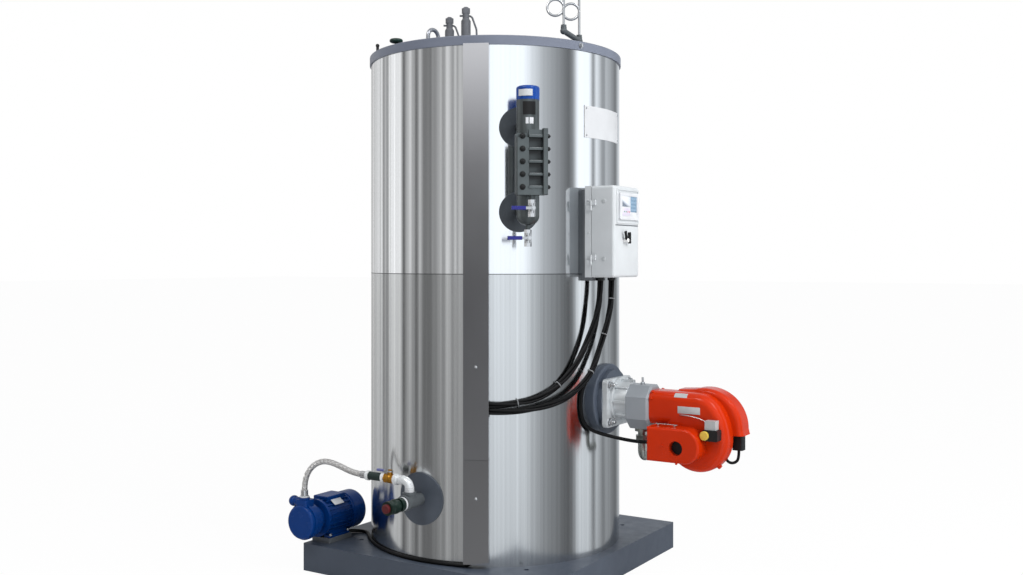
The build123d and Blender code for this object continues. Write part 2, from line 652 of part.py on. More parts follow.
def ball_valve(length, radius, collar):
    """A small valve: pipe along y, spindle along z."""
    body = Sphere(radius) + Rot(90, 0, 0) * Cylinder(radius * 0.92, length * 0.6)
    for side in (-1, 1):
        end = Rot(90, 0, 0) * Pos(0, 0, -length * 0.15) * hexagon(radius * 1.7, length * 0.3)
        body += Pos(0, side * length * 0.35, 0) * end
    body += Cylinder(radius * 0.55, collar, align=UP)
    body += Cylinder(radius * 0.28, collar + 9, align=UP)
    return body + Pos(0, 0, collar + 5.4) * hexagon(radius * 0.8, 4)


def valve_lever(length, radius, collar):
    """A flat lever along -x with a thick sleeve, bored for the spindle."""
    arm = span((-length, -5, 0), (0, 5, 5)) + Cylinder(radius * 0.62, 5, align=UP)
    sleeve = span((-length, -7, -2), (-length * 0.34, 7, 7))
    arm += fillet(sleeve.edges().filter_by(Axis.X), 3)
    return Pos(0, 0, collar + 0.2) * (arm - Cylinder(radius * 0.28 + 0.15, 40))


def gauge_cock_plane():
    drop = GAUGE_Z - GAUGE_HEIGHT / 2 - COCK_NECK - COCK_LENGTH / 2
    return radial(GAUGE_AZ, GAUGE_BACK + GAUGE_BODY_DEPTH / 2, drop) * Pos(COCK_SHIFT, 0, 0)


def drain_cock_plane():
    return radial(GAUGE_AZ, COLUMN_AT, COLUMN_BOTTOM - COCK_NECK - COCK_LENGTH / 2)


def gauge_cocks():
    upper = gauge_cock_plane() * ball_valve(COCK_LENGTH, COCK_R, COCK_R + 10)
    lower = drain_cock_plane() * ball_valve(COCK_LENGTH, COCK_R, COCK_R + 8)
    return Compound(children=[upper, lower])


def gauge_lever():
    return gauge_cock_plane() * valve_lever(COCK_LEVER, COCK_R, COCK_R + 10)


def drain_lever():
    return drain_cock_plane() * valve_lever(COCK_LEVER, COCK_R, COCK_R + 8)


def cabinet_bracket():
    low = (JACKET_R * 0.8, CAB_LEFT + BRACKET_INSET, CAB_BOTTOM - 14)
    high = (CAB_BACK, CAB_LEFT + CAB_WIDTH - BRACKET_INSET, CAB_BOTTOM + CAB_HEIGHT - 10)
    frame = span(low, high) - span((low[0], low[1] + 30, low[2] + 40), (high[0], high[1] - 30, high[2] - 40))
    return frame - body_core(JACKET_R + FIT)


def hinge_half(low, high, leaf, radius):
    """A barrel on the hinge axis with a leaf on the cabinet's side."""
    barrel = Pos(HINGE_X, HINGE_Y, low) * Cylinder(radius, high - low, align=UP)
    near, far = sorted((leaf, HINGE_X))
    web = span((near, HINGE_Y - LEAF_THICK / 2, low), (far, HINGE_Y + LEAF_THICK / 2, high))
    foot = span((leaf, HINGE_Y - LEAF_THICK / 2, low), (leaf + LEAF_FOOT, CAB_LEFT + 1, high))
    return barrel + web + foot


def cabinet_body():
    top = CAB_BOTTOM + CAB_HEIGHT
    tray = span((CAB_BACK, CAB_LEFT, CAB_BOTTOM), (CAB_SEAM_X, CAB_LEFT + CAB_WIDTH, top))
    tray -= span(
        (CAB_BACK + CAB_WALL, CAB_LEFT + CAB_WALL, CAB_BOTTOM + CAB_WALL),
        (CAB_SEAM_X, CAB_LEFT + CAB_WIDTH - CAB_WALL, top - CAB_WALL),
    )
    for height in HINGE_HEIGHTS:
        low = CAB_BOTTOM + height - HINGE_LENGTH / 2
        tray += hinge_half(low, low + HINGE_LENGTH / 2, CAB_BACK + 8, HINGE_BARREL_R)
        tray += Pos(HINGE_X, HINGE_Y, low) * Cylinder(HINGE_PIN_R, HINGE_LENGTH - 2, align=UP)
    return tray


def cabinet_door():
    top = CAB_BOTTOM + CAB_HEIGHT
    back = CAB_SEAM_X + CAB_SEAM
    cover = span((back, CAB_LEFT, CAB_BOTTOM), (CAB_FRONT, CAB_LEFT + CAB_WIDTH, top))
    cover = fillet(cover.edges().filter_by(Axis.X) + cover.edges().group_by(Axis.X)[-1], CAB_EDGE)
    room = span(
        (back, CAB_LEFT + CAB_WALL, CAB_BOTTOM + CAB_WALL),
        (CAB_FRONT - CAB_WALL, CAB_LEFT + CAB_WIDTH - CAB_WALL, top - CAB_WALL),
    )
    cover -= fillet(room.edges().filter_by(Axis.X) + room.edges().group_by(Axis.X)[-1], CAB_EDGE - CAB_WALL)
    for height in HINGE_HEIGHTS:
        low = CAB_BOTTOM + height + 0.5
        cover += hinge_half(low, low + HINGE_LENGTH / 2, back + 12, HINGE_BARREL_R)
        cover -= Pos(HINGE_X, HINGE_Y, low) * Cylinder(HINGE_PIN_R + 0.2, HINGE_LENGTH, align=UP)
    return cover


def cabinet_display():
    panel = Box(DISPLAY_DEPTH, DISPLAY_WIDTH, DISPLAY_HEIGHT, align=ALONG)
    panel = fillet(panel.edges().filter_by(Axis.X), 6)
    screen = Box(2 * SCREEN_SUNK, DISPLAY_WIDTH - 34, DISPLAY_HEIGHT - 26, align=ALONG)
    panel -= Pos(DISPLAY_DEPTH - SCREEN_SUNK, 0, 2) * screen
    return Pos(CAB_FRONT, DISPLAY_Y, DISPLAY_Z) * panel


def cabinet_lock():
    lock = rod((0, 0, 0), (10, 0, 0), 13)
    grip = Pos(14, 0, -6) * Box(8, 14, 44)
    lock += fillet(grip.edges().filter_by(Axis.X), 5)
    return Pos(CAB_FRONT, LOCK_Y, LOCK_Z) * lock


def cabinet_glands():
    glands = []
    for y in (GLAND_LEFT_Y, GLAND_RIGHT_Y):
        gland = Rot(0, 0, 30) * hexagon(2 * GLAND_R, GLAND_LENGTH)
        glands.append(Pos(CAB_BACK + CAB_TRAY / 2, y, CAB_BOTTOM - GLAND_LENGTH) * gland)
    return Compound(children=glands)


def along_x(start, end, radius):
    return rod((start, 0, BURNER_Z), (end, 0, BURNER_Z), radius)


def burner_collar():
    collar = along_x(JACKET_R - 50, JACKET_R + COLLAR_THICK, COLLAR_R)
    collar = fillet(collar.edges().group_by(Axis.X)[-1], 8)
    collar -= body_core(JACKET_R + FIT)
    return collar + along_x(JACKET_R - 45, FLANGE_X, DRUM_R)


def burner_flange():
    plate = Box(FLANGE_THICK, FLANGE_WIDTH, FLANGE_HEIGHT, align=ALONG)
    plate = fillet(plate.edges().filter_by(Axis.X), 16)
    neck = Pos(FLANGE_X, 0, BURNER_Z - FLANGE_DROP) * plate + along_x(NECK_X, BLOCK_X, NECK_R)
    neck += along_x(NECK_X, NECK_X + 10, NECK_R + 16)
    for turn in range(8):
        rib = Rot(turn * 45, 0, 0) * span((0, NECK_R - 10, -4), (NECK_LENGTH, NECK_R + 9, 4))
        neck += Pos(NECK_X, 0, BURNER_Z) * rib
    return neck


def burner_block():
    section = Plane.YZ * chamfer(Rectangle(BLOCK_WIDTH, BLOCK_HEIGHT).vertices(), BLOCK_CHAMFER)
    block = extrude(section, BLOCK_LENGTH)
    block = chamfer(block.edges().group_by(Axis.X)[-1], 8)
    return Pos(BLOCK_X, 0, BURNER_Z - BLOCK_DROP) * block


def burner_body():
    """The blast duct and the fan scroll, which opens upwards into it."""
    low = DUCT_TOP - DUCT_HEIGHT
    left = SCROLL_X - SCROLL_R
    middle = (SCROLL_X, SCROLL_Z)
    outline = [
        Line((DUCT_X, low), (DUCT_X, DUCT_TOP)),
        Line((DUCT_X, DUCT_TOP), (SCROLL_X, DUCT_TOP)),
        EllipticalCenterArc(middle, SCROLL_R, SCROLL_RISE, start_angle=0, arc_size=90),
        CenterArc(middle, SCROLL_R, 180, 180),
        Line((left, SCROLL_Z), (left, low)),
        Line((left, low), (DUCT_X, low)),
    ]
    casing = Pos(0, SCROLL_BACK, 0) * extrude(Plane.XZ * make_face(outline), BURNER_FRONT + SCROLL_BACK)
    casing = fillet(casing.edges().group_by(Axis.Y)[0].sort_by(Axis.X)[1:], SCROLL_EDGE)
    duct = span((DUCT_X, -SCROLL_BACK, low), (DUCT_X + DUCT_BACK, BURNER_FRONT, DUCT_TOP))
    casing += fillet(duct.edges().filter_by(Axis.X).group_by(Axis.Y)[-1], SCROLL_EDGE)
    x, y, z = plug_lead_points()[-1]
    half = LEAD_BOSS / 2
    return casing + span((x - half, 0, z), (x + half, y + half, z + LEAD_BOSS))


def burner_hood():
    """The rounded cover behind the scroll, over the air intake."""
    left = DUCT_X + DUCT_BACK + FIT
    low = DUCT_TOP - HOOD_DROP
    x = SCROLL_X + 9
    z = SCROLL_Z + 38
    start = math.radians(107)
    begin = (x + HOOD_R * math.cos(start), z + HOOD_R * math.sin(start))
    middle = (x + HOOD_R * math.sqrt(0.5), z + HOOD_R * math.sqrt(0.5))
    outline = [
        Line((left, low), (left, begin[1] - 4)),
        Line((left, begin[1] - 4), begin),
        ThreePointArc(begin, middle, (x + HOOD_R, z)),
        Line((x + HOOD_R, z), (x + HOOD_R + 5, low)),
        Line((x + HOOD_R + 5, low), (left, low)),
    ]
    hood = Pos(0, SCROLL_BACK, 0) * extrude(Plane.XZ * make_face(outline), -HOOD_WIDTH)
    hood = fillet(hood.edges().group_by(Axis.Y)[0].group_by(Axis.Z)[1:], HOOD_EDGE)
    return fillet(hood.edges().group_by(Axis.Y)[-1], 10)


def air_box_place():
    return Pos(DUCT_X + AIR_BOX_START, -BURNER_FRONT, SCROLL_Z - AIR_BOX_DROP)


def air_hole_place():
    return air_box_place() * Pos(AIR_BOX_LENGTH * 0.57, -AIR_BOX_DEPTH, -8)


def air_box():
    outline = Rectangle(AIR_BOX_LENGTH, AIR_BOX_HEIGHT, align=(Align.MIN, Align.CENTER))
    right = outline.vertices().group_by(Axis.X)[-1]
    outline = fillet(right, AIR_BOX_HEIGHT * 0.48)
    box = extrude(Plane.XZ * outline, AIR_BOX_DEPTH)
    box = fillet(box.edges().group_by(Axis.Y)[0], 9)
    return air_box_place() * box - air_hole_place() * rod((0, 0, 0), (0, AIR_HOLE_DEPTH, 0), AIR_HOLE_R + FIT)


def air_plug():
    plug = rod((0, AIR_HOLE_DEPTH, 0), (0, AIR_HOLE_DEPTH - 6, 0), AIR_HOLE_R)
    return air_hole_place() * plug


def air_switch():
    """A switch with a terminal head over it, on the scroll's face."""
    face = -BURNER_FRONT
    back = face + SCROLL_EDGE
    low, middle, high = (SCROLL_Z + rise for rise in SWITCH_RISES)
    box = span((SCROLL_X + SWITCH_LEFT, face - SWITCH_DEPTH, low), (SCROLL_X + SWITCH_RIGHT, back, middle))
    box = fillet(box.edges().filter_by(Axis.Y), 5)
    left = SCROLL_X + SWITCH_LEFT + 7
    right = SCROLL_X + SWITCH_RIGHT - 10
    head = span((left, face - SWITCH_DEPTH + 6, middle), (right, back, high))
    return box + head - burner_body()


def switch_dial():
    front = -BURNER_FRONT - SWITCH_DEPTH
    dial = rod((0, front, 0), (0, front - 10, 0), 17)
    dial = fillet(dial.edges().group_by(Axis.Y)[0], 3)
    return Pos(SCROLL_X + 55, 0, SCROLL_Z + 25.5) * dial


def plug_place():
    return Pos(SCROLL_X + 133, SCROLL_BACK + HOOD_WIDTH / 2, DUCT_TOP - HOOD_DROP)


def plug_lead_points():
    start = (plug_place() * Pos(0, 0, -PLUG_HEIGHT)).position
    return [start + Vector(*p) for p in PLUG_LEAD]


def burner_plug():
    plug = Pos(0, 0, -PLUG_HEIGHT) * Box(PLUG_SIDE, PLUG_SIDE, PLUG_HEIGHT, align=UP)
    return plug_place() * fillet(plug.edges().filter_by(Axis.Z), 6)


def gas_inlet():
    x = BLOCK_X + BLOCK_LENGTH * 0.4
    top = BURNER_Z - BLOCK_DROP - BLOCK_HEIGHT / 2
    points = [(x, 0, top), (x, 0, top - GAS_DROP), (x, GAS_REACH, top - GAS_DROP)]
    path = FilletPolyline(*points, radius=30)
    pipe = sweep(Plane(origin=path @ 0, z_dir=path % 0) * Circle(GAS_PIPE_R), path=path)
    pipe += Pos(x, 0, top - 12) * Cylinder(GAS_PIPE_R + 12, 12, align=UP)
    return pipe + Pos(x, 0, top - 52) * hexagon(2 * GAS_PIPE_R + 14, 24)


def feed_tee():
    tee = rod((0, -JACKET_R + 40, FEED_Z), (0, TEE_Y, FEED_Z), FEED_PIPE_R)
    tee += rod((0, TEE_Y + 36, FEED_Z), (0, TEE_Y - TEE_REACH, FEED_Z), TEE_R)
    tee += rod((0, TEE_Y - TEE_REACH + 10, FEED_Z), (0, TEE_Y - TEE_REACH, FEED_Z), TEE_R + 4)
    top = FEED_Z + TEE_RISE
    tee += rod((0, TEE_Y, FEED_Z), (0, TEE_Y, top), TEE_R - 3)
    return tee + rod((0, TEE_Y, top - 8), (0, TEE_Y, top), TEE_R)


def feed_elbow():
    end = FEED_VALVE_X + FEED_VALVE_LENGTH / 2
    points = [(0, TEE_Y, FEED_Z + TEE_RISE), (0, TEE_Y, FEED_RUN_Z), (end, TEE_Y, FEED_RUN_Z)]
    path = FilletPolyline(*points, radius=ELBOW_BEND)
    pipe = sweep(Plane(origin=path @ 0, z_dir=path % 0) * Circle(ELBOW_R), path=path)
    return pipe + feed_run(end, end + ELBOW_NUT, LINE_R + 7)


def feed_valve_plane():
    return Plane(origin=(FEED_VALVE_X, TEE_Y, FEED_RUN_Z), x_dir=(0, 1, 0), z_dir=(0, 0, 1))


def feed_valve():
    return feed_valve_plane() * ball_valve(FEED_VALVE_LENGTH, FEED_VALVE_R, FEED_VALVE_R + 6)


def feed_lever():
    return feed_valve_plane() * Rot(0, 0, -90) * valve_lever(FEED_LEVER, FEED_VALVE_R, FEED_VALVE_R + 6)


def feed_run(start, end, radius):
    return rod((start, TEE_Y, FEED_RUN_Z), (end, TEE_Y, FEED_RUN_Z), radius)


def check_valve():
    start = FEED_VALVE_X - FEED_VALVE_LENGTH / 2
    line = feed_run(start, HOSE_START_X, LINE_R)
    line += feed_run(start - CHECK_END, HOSE_START_X + CHECK_END, CHECK_R)
    line += feed_run(start, start - CHECK_END, CHECK_NUT_R)
    return line + feed_run(HOSE_START_X + CHECK_END, HOSE_START_X, CHECK_NUT_R)


def blowdown_valve():
    start = TEE_Y - TEE_REACH
    end = start - BLOWDOWN_LENGTH
    valve = rod((0, start, FEED_Z), (0, end, FEED_Z), 21)
    valve += rod((0, start - 10, FEED_Z), (0, start - 30, FEED_Z), 26)
    valve += rod((0, end + 24, FEED_Z), (0, end, FEED_Z), 26)
    return valve + Pos(0, start - 51, FEED_Z) * Sphere(28)


def blowdown_plug():
    start = TEE_Y - TEE_REACH - BLOWDOWN_LENGTH
    plug = rod((0, start, FEED_Z), (0, start - 12, FEED_Z), 17)
    return fillet(plug.edges().group_by(Axis.Y)[0], 4)


def pump_line(start, end, radius):
    return rod((PUMP_X, start, PUMP_Z), (PUMP_X, end, PUMP_Z), radius)


def pump_head():
    back = PUMP_FRONT + HEAD_LENGTH
    head = pump_line(PUMP_FRONT, back, HEAD_R)
    head = fillet(head.edges().group_by(Axis.Y)[0], 10)
    head += pump_line(PUMP_FRONT + 18, PUMP_FRONT + 30, HEAD_R + 5)
    head += pump_line(back, MOTOR_FRONT, HEAD_R * 0.72)
    chest = span((PUMP_X - 29, PUMP_FRONT + 6, PUMP_Z), (PUMP_X + 29, back - 6, NOZZLE_TOP - 8))
    head += fillet(chest.edges().filter_by(Axis.Z), 8)
    head += rod((PUMP_X, NOZZLE_Y, PUMP_Z), (PUMP_X, NOZZLE_Y, NOZZLE_TOP), 22)
    inlet_z = NOZZLE_TOP - PUMP_INLET_DROP
    head += rod((PUMP_X, NOZZLE_Y, inlet_z), (PUMP_X - PUMP_INLET, NOZZLE_Y, inlet_z), 18)
    return head + Pos(PUMP_X - PUMP_INLET, NOZZLE_Y, inlet_z) * Sphere(22)


def pump_motor():
    motor = pump_line(MOTOR_FRONT, MOTOR_BACK, MOTOR_CORE_R)
    motor += pump_line(MOTOR_FRONT, MOTOR_FRONT + 12, MOTOR_R)
    motor += pump_line(MOTOR_BACK - 10, MOTOR_BACK, MOTOR_R)
    for index in range(FIN_COUNT):
        fin = span((-1.5, MOTOR_FRONT, MOTOR_CORE_R - 8), (1.5, MOTOR_BACK, MOTOR_R))
        motor += Pos(PUMP_X, 0, PUMP_Z) * Rot(0, index * 360 / FIN_COUNT, 0) * fin
    floor = BASE_HEIGHT + PEDESTAL_THICK
    for side in (-1, 1):
        x = PUMP_X + side * MOTOR_FOOT
        motor += span((x - 16, MOTOR_FRONT + 20, floor), (x + 16, MOTOR_BACK - 20, floor + 10))
        motor += span((x - 8, MOTOR_FRONT + 30, floor), (x + 8, MOTOR_BACK - 30, PUMP_Z - 30))
    low, high = terminal_space()
    return motor - span(low, (high[0], high[1], PUMP_Z + 2 * MOTOR_R))


def fan_cover():
    cover = pump_line(MOTOR_BACK, MOTOR_BACK + FAN_COVER_LENGTH, MOTOR_R + 3)
    return fillet(cover.edges().group_by(Axis.Y)[-1], 18)


def terminal_space():
    """The corners of the terminal box, sunk a little into the fins."""
    low = PUMP_Z + MOTOR_R - TERMINAL_SUNK
    half = TERMINAL_WIDTH / 2
    return (PUMP_X - half, MOTOR_FRONT + 30, low), (PUMP_X + half, MOTOR_BACK - 20, low + TERMINAL_HEIGHT)


def terminal_box():
    box = span(*terminal_space())
    return fillet(box.edges().group_by(Axis.Z)[-1], 4)


def pump_pedestal():
    left = -BASE_SIDE / 2 + 6
    low = (left, MOTOR_FRONT + 12, BASE_HEIGHT)
    return span(low, (PUMP_X + 66, MOTOR_BACK - 12, BASE_HEIGHT + PEDESTAL_THICK))


def gland_exit(y):
    """The two points of a straight run out of a gland."""
    low = CAB_BOTTOM - GLAND_LENGTH
    return [(CAB_BACK + CAB_TRAY / 2, y, low), (CAB_BACK + CAB_TRAY / 2, y, low - 42)]


def harness_left():
    return cord("left harness", gland_exit(GLAND_LEFT_Y) + [at(*p) for p in LEFT_HARNESS], HARNESS_R)


def harness_right():
    return cord("right harness", gland_exit(GLAND_RIGHT_Y) + [at(*p) for p in RIGHT_HARNESS], HARNESS_R)


def burner_lead():
    end = (DUCT_X + AIR_BOX_START, *BURNER_LEAD_END[-1][1:])
    points = [at(*p) for p in BURNER_LEAD] + BURNER_LEAD_END[:-1]
    points += [(BURNER_LEAD_END[-1][0] - 10, *end[1:]), end]
    return cord("burner lead", points, HARNESS_LEAD_R)


def pump_lead():
    foot = MOTOR_BACK - 12
    start = [(x, foot + y, z) for x, y, z in PUMP_LEAD_START]
    return cord("pump lead", start + [at(*p) for p in PUMP_LEAD], PUMP_LEAD_R)


def plug_lead():
    return cord("plug lead", plug_lead_points(), PLUG_LEAD_R)


def feed_hose():
    return cord("feed hose", HOSE, HOSE_R)


PIECES = [
    base_frame, lower_cladding, upper_cladding, top_cap, flue_collar, steam_outlet, trunking_lower,
    trunking_upper, name_plate, rosettes, safety_valves, lifting_lugs, vent_valve, siphon_tubes,
    siphon_manifold, pressure_gauge, pressure_switch, level_column, column_cap, gauge_body,
    gauge_glass, gauge_cover, gauge_cocks, gauge_lever, drain_lever, cabinet_bracket, cabinet_body,
    cabinet_door, cabinet_display, cabinet_lock, cabinet_glands, burner_collar, burner_flange,
    burner_block, burner_body, burner_hood, air_box, air_plug, air_switch, switch_dial, burner_plug,
    gas_inlet, feed_tee, feed_elbow, feed_valve, feed_lever, check_valve, blowdown_valve,
    blowdown_plug, pump_head, pump_motor, fan_cover, terminal_box, pump_pedestal, harness_left,
    harness_right, burner_lead, pump_lead, plug_lead, feed_hose,
]

os.makedirs("parts", exist_ok=True)
for make in PIECES:
    export_step(make(), f"parts/{make.__name__}.step")
print(len(PIECES), "pieces")
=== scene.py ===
import json
import math

import bmesh
import bpy
from mathutils import Matrix, Vector


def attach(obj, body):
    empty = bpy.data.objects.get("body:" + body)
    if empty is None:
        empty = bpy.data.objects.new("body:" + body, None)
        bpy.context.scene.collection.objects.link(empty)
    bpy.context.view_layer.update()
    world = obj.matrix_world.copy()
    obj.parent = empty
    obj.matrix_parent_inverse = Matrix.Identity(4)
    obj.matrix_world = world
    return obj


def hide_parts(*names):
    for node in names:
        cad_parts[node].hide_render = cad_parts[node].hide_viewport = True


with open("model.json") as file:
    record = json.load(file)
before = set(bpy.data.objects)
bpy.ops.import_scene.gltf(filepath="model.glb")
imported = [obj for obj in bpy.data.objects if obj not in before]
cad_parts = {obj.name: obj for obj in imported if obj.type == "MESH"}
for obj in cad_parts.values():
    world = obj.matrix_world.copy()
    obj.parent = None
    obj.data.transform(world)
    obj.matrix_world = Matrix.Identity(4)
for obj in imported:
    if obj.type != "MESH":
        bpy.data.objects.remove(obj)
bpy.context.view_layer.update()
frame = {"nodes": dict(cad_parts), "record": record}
nodes = frame["nodes"]
scene = bpy.context.scene
scene.view_settings.view_transform = "Standard"

# Camera: place in metres, turn in degrees, lens in millimetres
CAMERA_AT = (2.5198, -3.8421, 1.2794)
CAMERA_TURN = 32.4
CAMERA_LENS = 37.58
CAMERA_SHIFT = -0.0262

# Cladding and what is fixed to it; a face is its distance from the boiler axis
SEAM_Z = 1.228
SEAM_INNER = 0.5295
SEAM_OUTER = 0.5306
SEAM_HALF = 0.0014
TRUNK_AZ = 25.7
TRUNK_FACE = 0.5635
TRUNK_SCREWS = (0.379, 0.877)
RIM_BOLT_AZ = 71.7
RIM_FACE = 0.5358
RIM_BOLT_Z = 2.121
NAME_PLATE_AZ = 90
NAME_PLATE_Z = 1.828
NAME_PLATE_FACE = 0.5320
RIVET_TURN = 14.4
RIVET_RISE = 0.053

# Where the bundles are tied, as azimuth, radius and height
LEFT_TIES = [(60.5, 0.5435, 0.797), (42.4, 0.543, 0.736)]
RIGHT_TIES = [(89.9, 0.560, 1.129), (85.3, 0.557, 0.980), (76.0, 0.560, 0.836)]
BUNDLE_R = 0.0128
HOSE_R = 0.0108
LEAD_R = 0.007
PLUG_LEAD_R = 0.0055

# Level gauge, from the boiler axis
GAUGE_AZ = 43.0
COLUMN_OUT = 0.700
COLUMN_R = 0.042
COLUMN_CAP_R = 0.046
COVER_Z = 1.634
COVER_ROWS = [-0.0912, -0.0456, 0.0, 0.0456, 0.0912]
PLATE_OUT = 0.788
PLATE_SIDE = -0.0370
BAR_SIDE = 0.0535
BAR_OUT = 0.790
RIB_OUT = 0.7935
RIB_HALF = 0.0040
WINDOW_SIDE = 0.0135

# Cabinet
DOOR_FRONT = 0.672
SCREEN_FLOOR = 0.678
SCREEN_Y = -0.1105
LAMP_Z = 1.4690
FRAME_BAR = 0.007
CABINET_SIDE = -0.200
LOCK_AT = (0.690, -0.098, 1.374)
LOCK_PLATE_FRONT = 0.6822

# Feed line and pump
FEED_ROSETTE_TOP = 0.9
FEED_Y = -0.600
FEED_LINE_Z = 0.436
CHECK_RINGS = (-0.1968, -0.1322)
MOTOR_CENTRE = (-0.540, -0.458, 0.212)
MOTOR_PLATE_OUT = 0.0786
MOTOR_PLATE_LEAN = 53
FOOT_Z = 0.142

# Burner
BURNER_Z = 0.725
NECK_X = 0.592
DUCT_X = 0.751
DUCT_Z = 0.741
DUCT_HALF = 0.028
DUCT_EDGE = 0.034
STUD_X = 0.696
BURNER_FACE = -0.062
AIR_BOX_TOP = 0.6485

# Pressure gauge
DIAL_AT = (0.4116, -0.1313, 2.442)
DIAL_AZ = 32.4
DIAL_R = 0.0445
DIAL_START = 225
DIAL_STEP = 5.4
DIAL_STEPS = 50
DIAL_SCALE_R = 0.041
DIAL_NUMBER_R = 0.0285

# Cord routes in metres, as azimuth in degrees, radius and height, or as x, y, z
LEFT_GLAND = [(0.559, -0.098, 1.201), (0.559, -0.098, 1.159)]
LEFT_ROUTE = [
    (79.4, 0.567, 1.112), (77.8, 0.563, 1.060), (75.6, 0.559, 1.005), (72.9, 0.554, 0.950),
    (69.4, 0.549, 0.895), (65.3, 0.545, 0.845), (60.4, 0.5435, 0.803), (54.6, 0.5435, 0.770),
    (48.5, 0.543, 0.747), (42.0, 0.543, 0.736), (36.0, 0.543, 0.732), (31.0, 0.545, 0.731),
    (27.0, 0.547, 0.731),
]
RIGHT_GLAND = [(0.559, -0.003, 1.201), (0.559, -0.003, 1.159)]
RIGHT_ROUTE = [
    (89.4, 0.560, 1.110), (87.2, 0.558, 1.055), (84.7, 0.557, 1.000), (81.9, 0.557, 0.945),
    (78.6, 0.558, 0.890), (74.7, 0.560, 0.838), (69.9, 0.562, 0.794), (64.2, 0.5625, 0.760),
    (57.5, 0.5625, 0.735), (50.5, 0.562, 0.719), (43.5, 0.560, 0.711), (37.0, 0.556, 0.708),
    (31.4, 0.550, 0.707), (27.6, 0.547, 0.707),
]
BURNER_ROUTE = [
    (74.8, 0.5385, 0.806), (72.7, 0.5375, 0.778), (71.8, 0.5375, 0.745), (71.6, 0.5375, 0.710),
    (72.0, 0.5375, 0.675), (73.4, 0.5385, 0.642), (76.2, 0.543, 0.617), (79.6, 0.553, 0.601),
]
BURNER_END = [
    (0.578, -0.076, 0.589), (0.617, -0.065, 0.581), (0.658, -0.065, 0.577), (0.700, -0.076, 0.577),
    (0.738, -0.090, 0.580), (0.760, -0.094, 0.582), (0.776, -0.094, 0.582),
]
PUMP_START = [
    (-0.532, -0.390, 0.121), (-0.532, -0.366, 0.121), (-0.522, -0.342, 0.1205), (-0.503, -0.324, 0.120),
    (-0.479, -0.315, 0.1195), (-0.453, -0.317, 0.1195), (-0.430, -0.329, 0.1195),
]
PUMP_ROUTE = [
    (-48.0, 0.540, 0.1195), (-43.0, 0.539, 0.1195), (-37.5, 0.5385, 0.1195), (-31.5, 0.538, 0.1195),
    (-25.0, 0.538, 0.1195), (-18.5, 0.538, 0.1195), (-12.0, 0.538, 0.1195), (-5.5, 0.538, 0.1195),
    (1.0, 0.538, 0.1195), (7.5, 0.538, 0.1195), (12.5, 0.539, 0.1195), (17.0, 0.5407, 0.1195),
    (21.06, 0.5425, 0.1195),
    (23.19, 0.5445, 0.1279), (24.82, 0.546, 0.1433), (25.7, 0.547, 0.1636), (25.75, 0.547, 0.186),
]
PLUG_ROUTE = [
    (1.074, 0.050, 0.560), (1.074, 0.050, 0.5255), (1.062, 0.0412, 0.5106), (1.045, 0.0288, 0.5106),
    (1.033, 0.020, 0.5255), (1.033, 0.020, 0.545),
]
HOSE_ROUTE = [
    (-0.210, -0.600, 0.436), (-0.254, -0.600, 0.436), (-0.302, -0.600, 0.443), (-0.350, -0.600, 0.457),
    (-0.398, -0.600, 0.468), (-0.442, -0.600, 0.468), (-0.482, -0.601, 0.453), (-0.514, -0.602, 0.426),
    (-0.533, -0.603, 0.391), (-0.540, -0.603, 0.351), (-0.540, -0.603, 0.311),
]


def srgb(red, green, blue):
    """A colour given in 0 to 255, as the shader reads it."""
    parts = [c / 255 for c in (red, green, blue)]
    return tuple(c / 12.92 if c < 0.04 else ((c + 0.055) / 1.055) ** 2.4 for c in parts) + (1.0,)


def shade(colour, factor):
    return tuple(c * factor for c in colour[:3]) + (1.0,)


class Level:
    """A socket that varies over a surface; its operators add Math nodes."""

    def __init__(self, finish, socket):
        self.finish = finish
        self.socket = socket

    def math(self, operation, *others):
        values = dict(enumerate((self, *others)))
        return self.finish.node("ShaderNodeMath", {"operation": operation}, values)

    def __add__(self, other):
        return self.math("ADD", other)

    def __mul__(self, other):
        return self.math("MULTIPLY", other)

    def __sub__(self, other):
        return self.math("SUBTRACT", other)

    def __truediv__(self, other):
        return self.math("DIVIDE", other)

    def __gt__(self, other):
        return self.math("GREATER_THAN", other)

    def __lt__(self, other):
        return self.math("LESS_THAN", other)


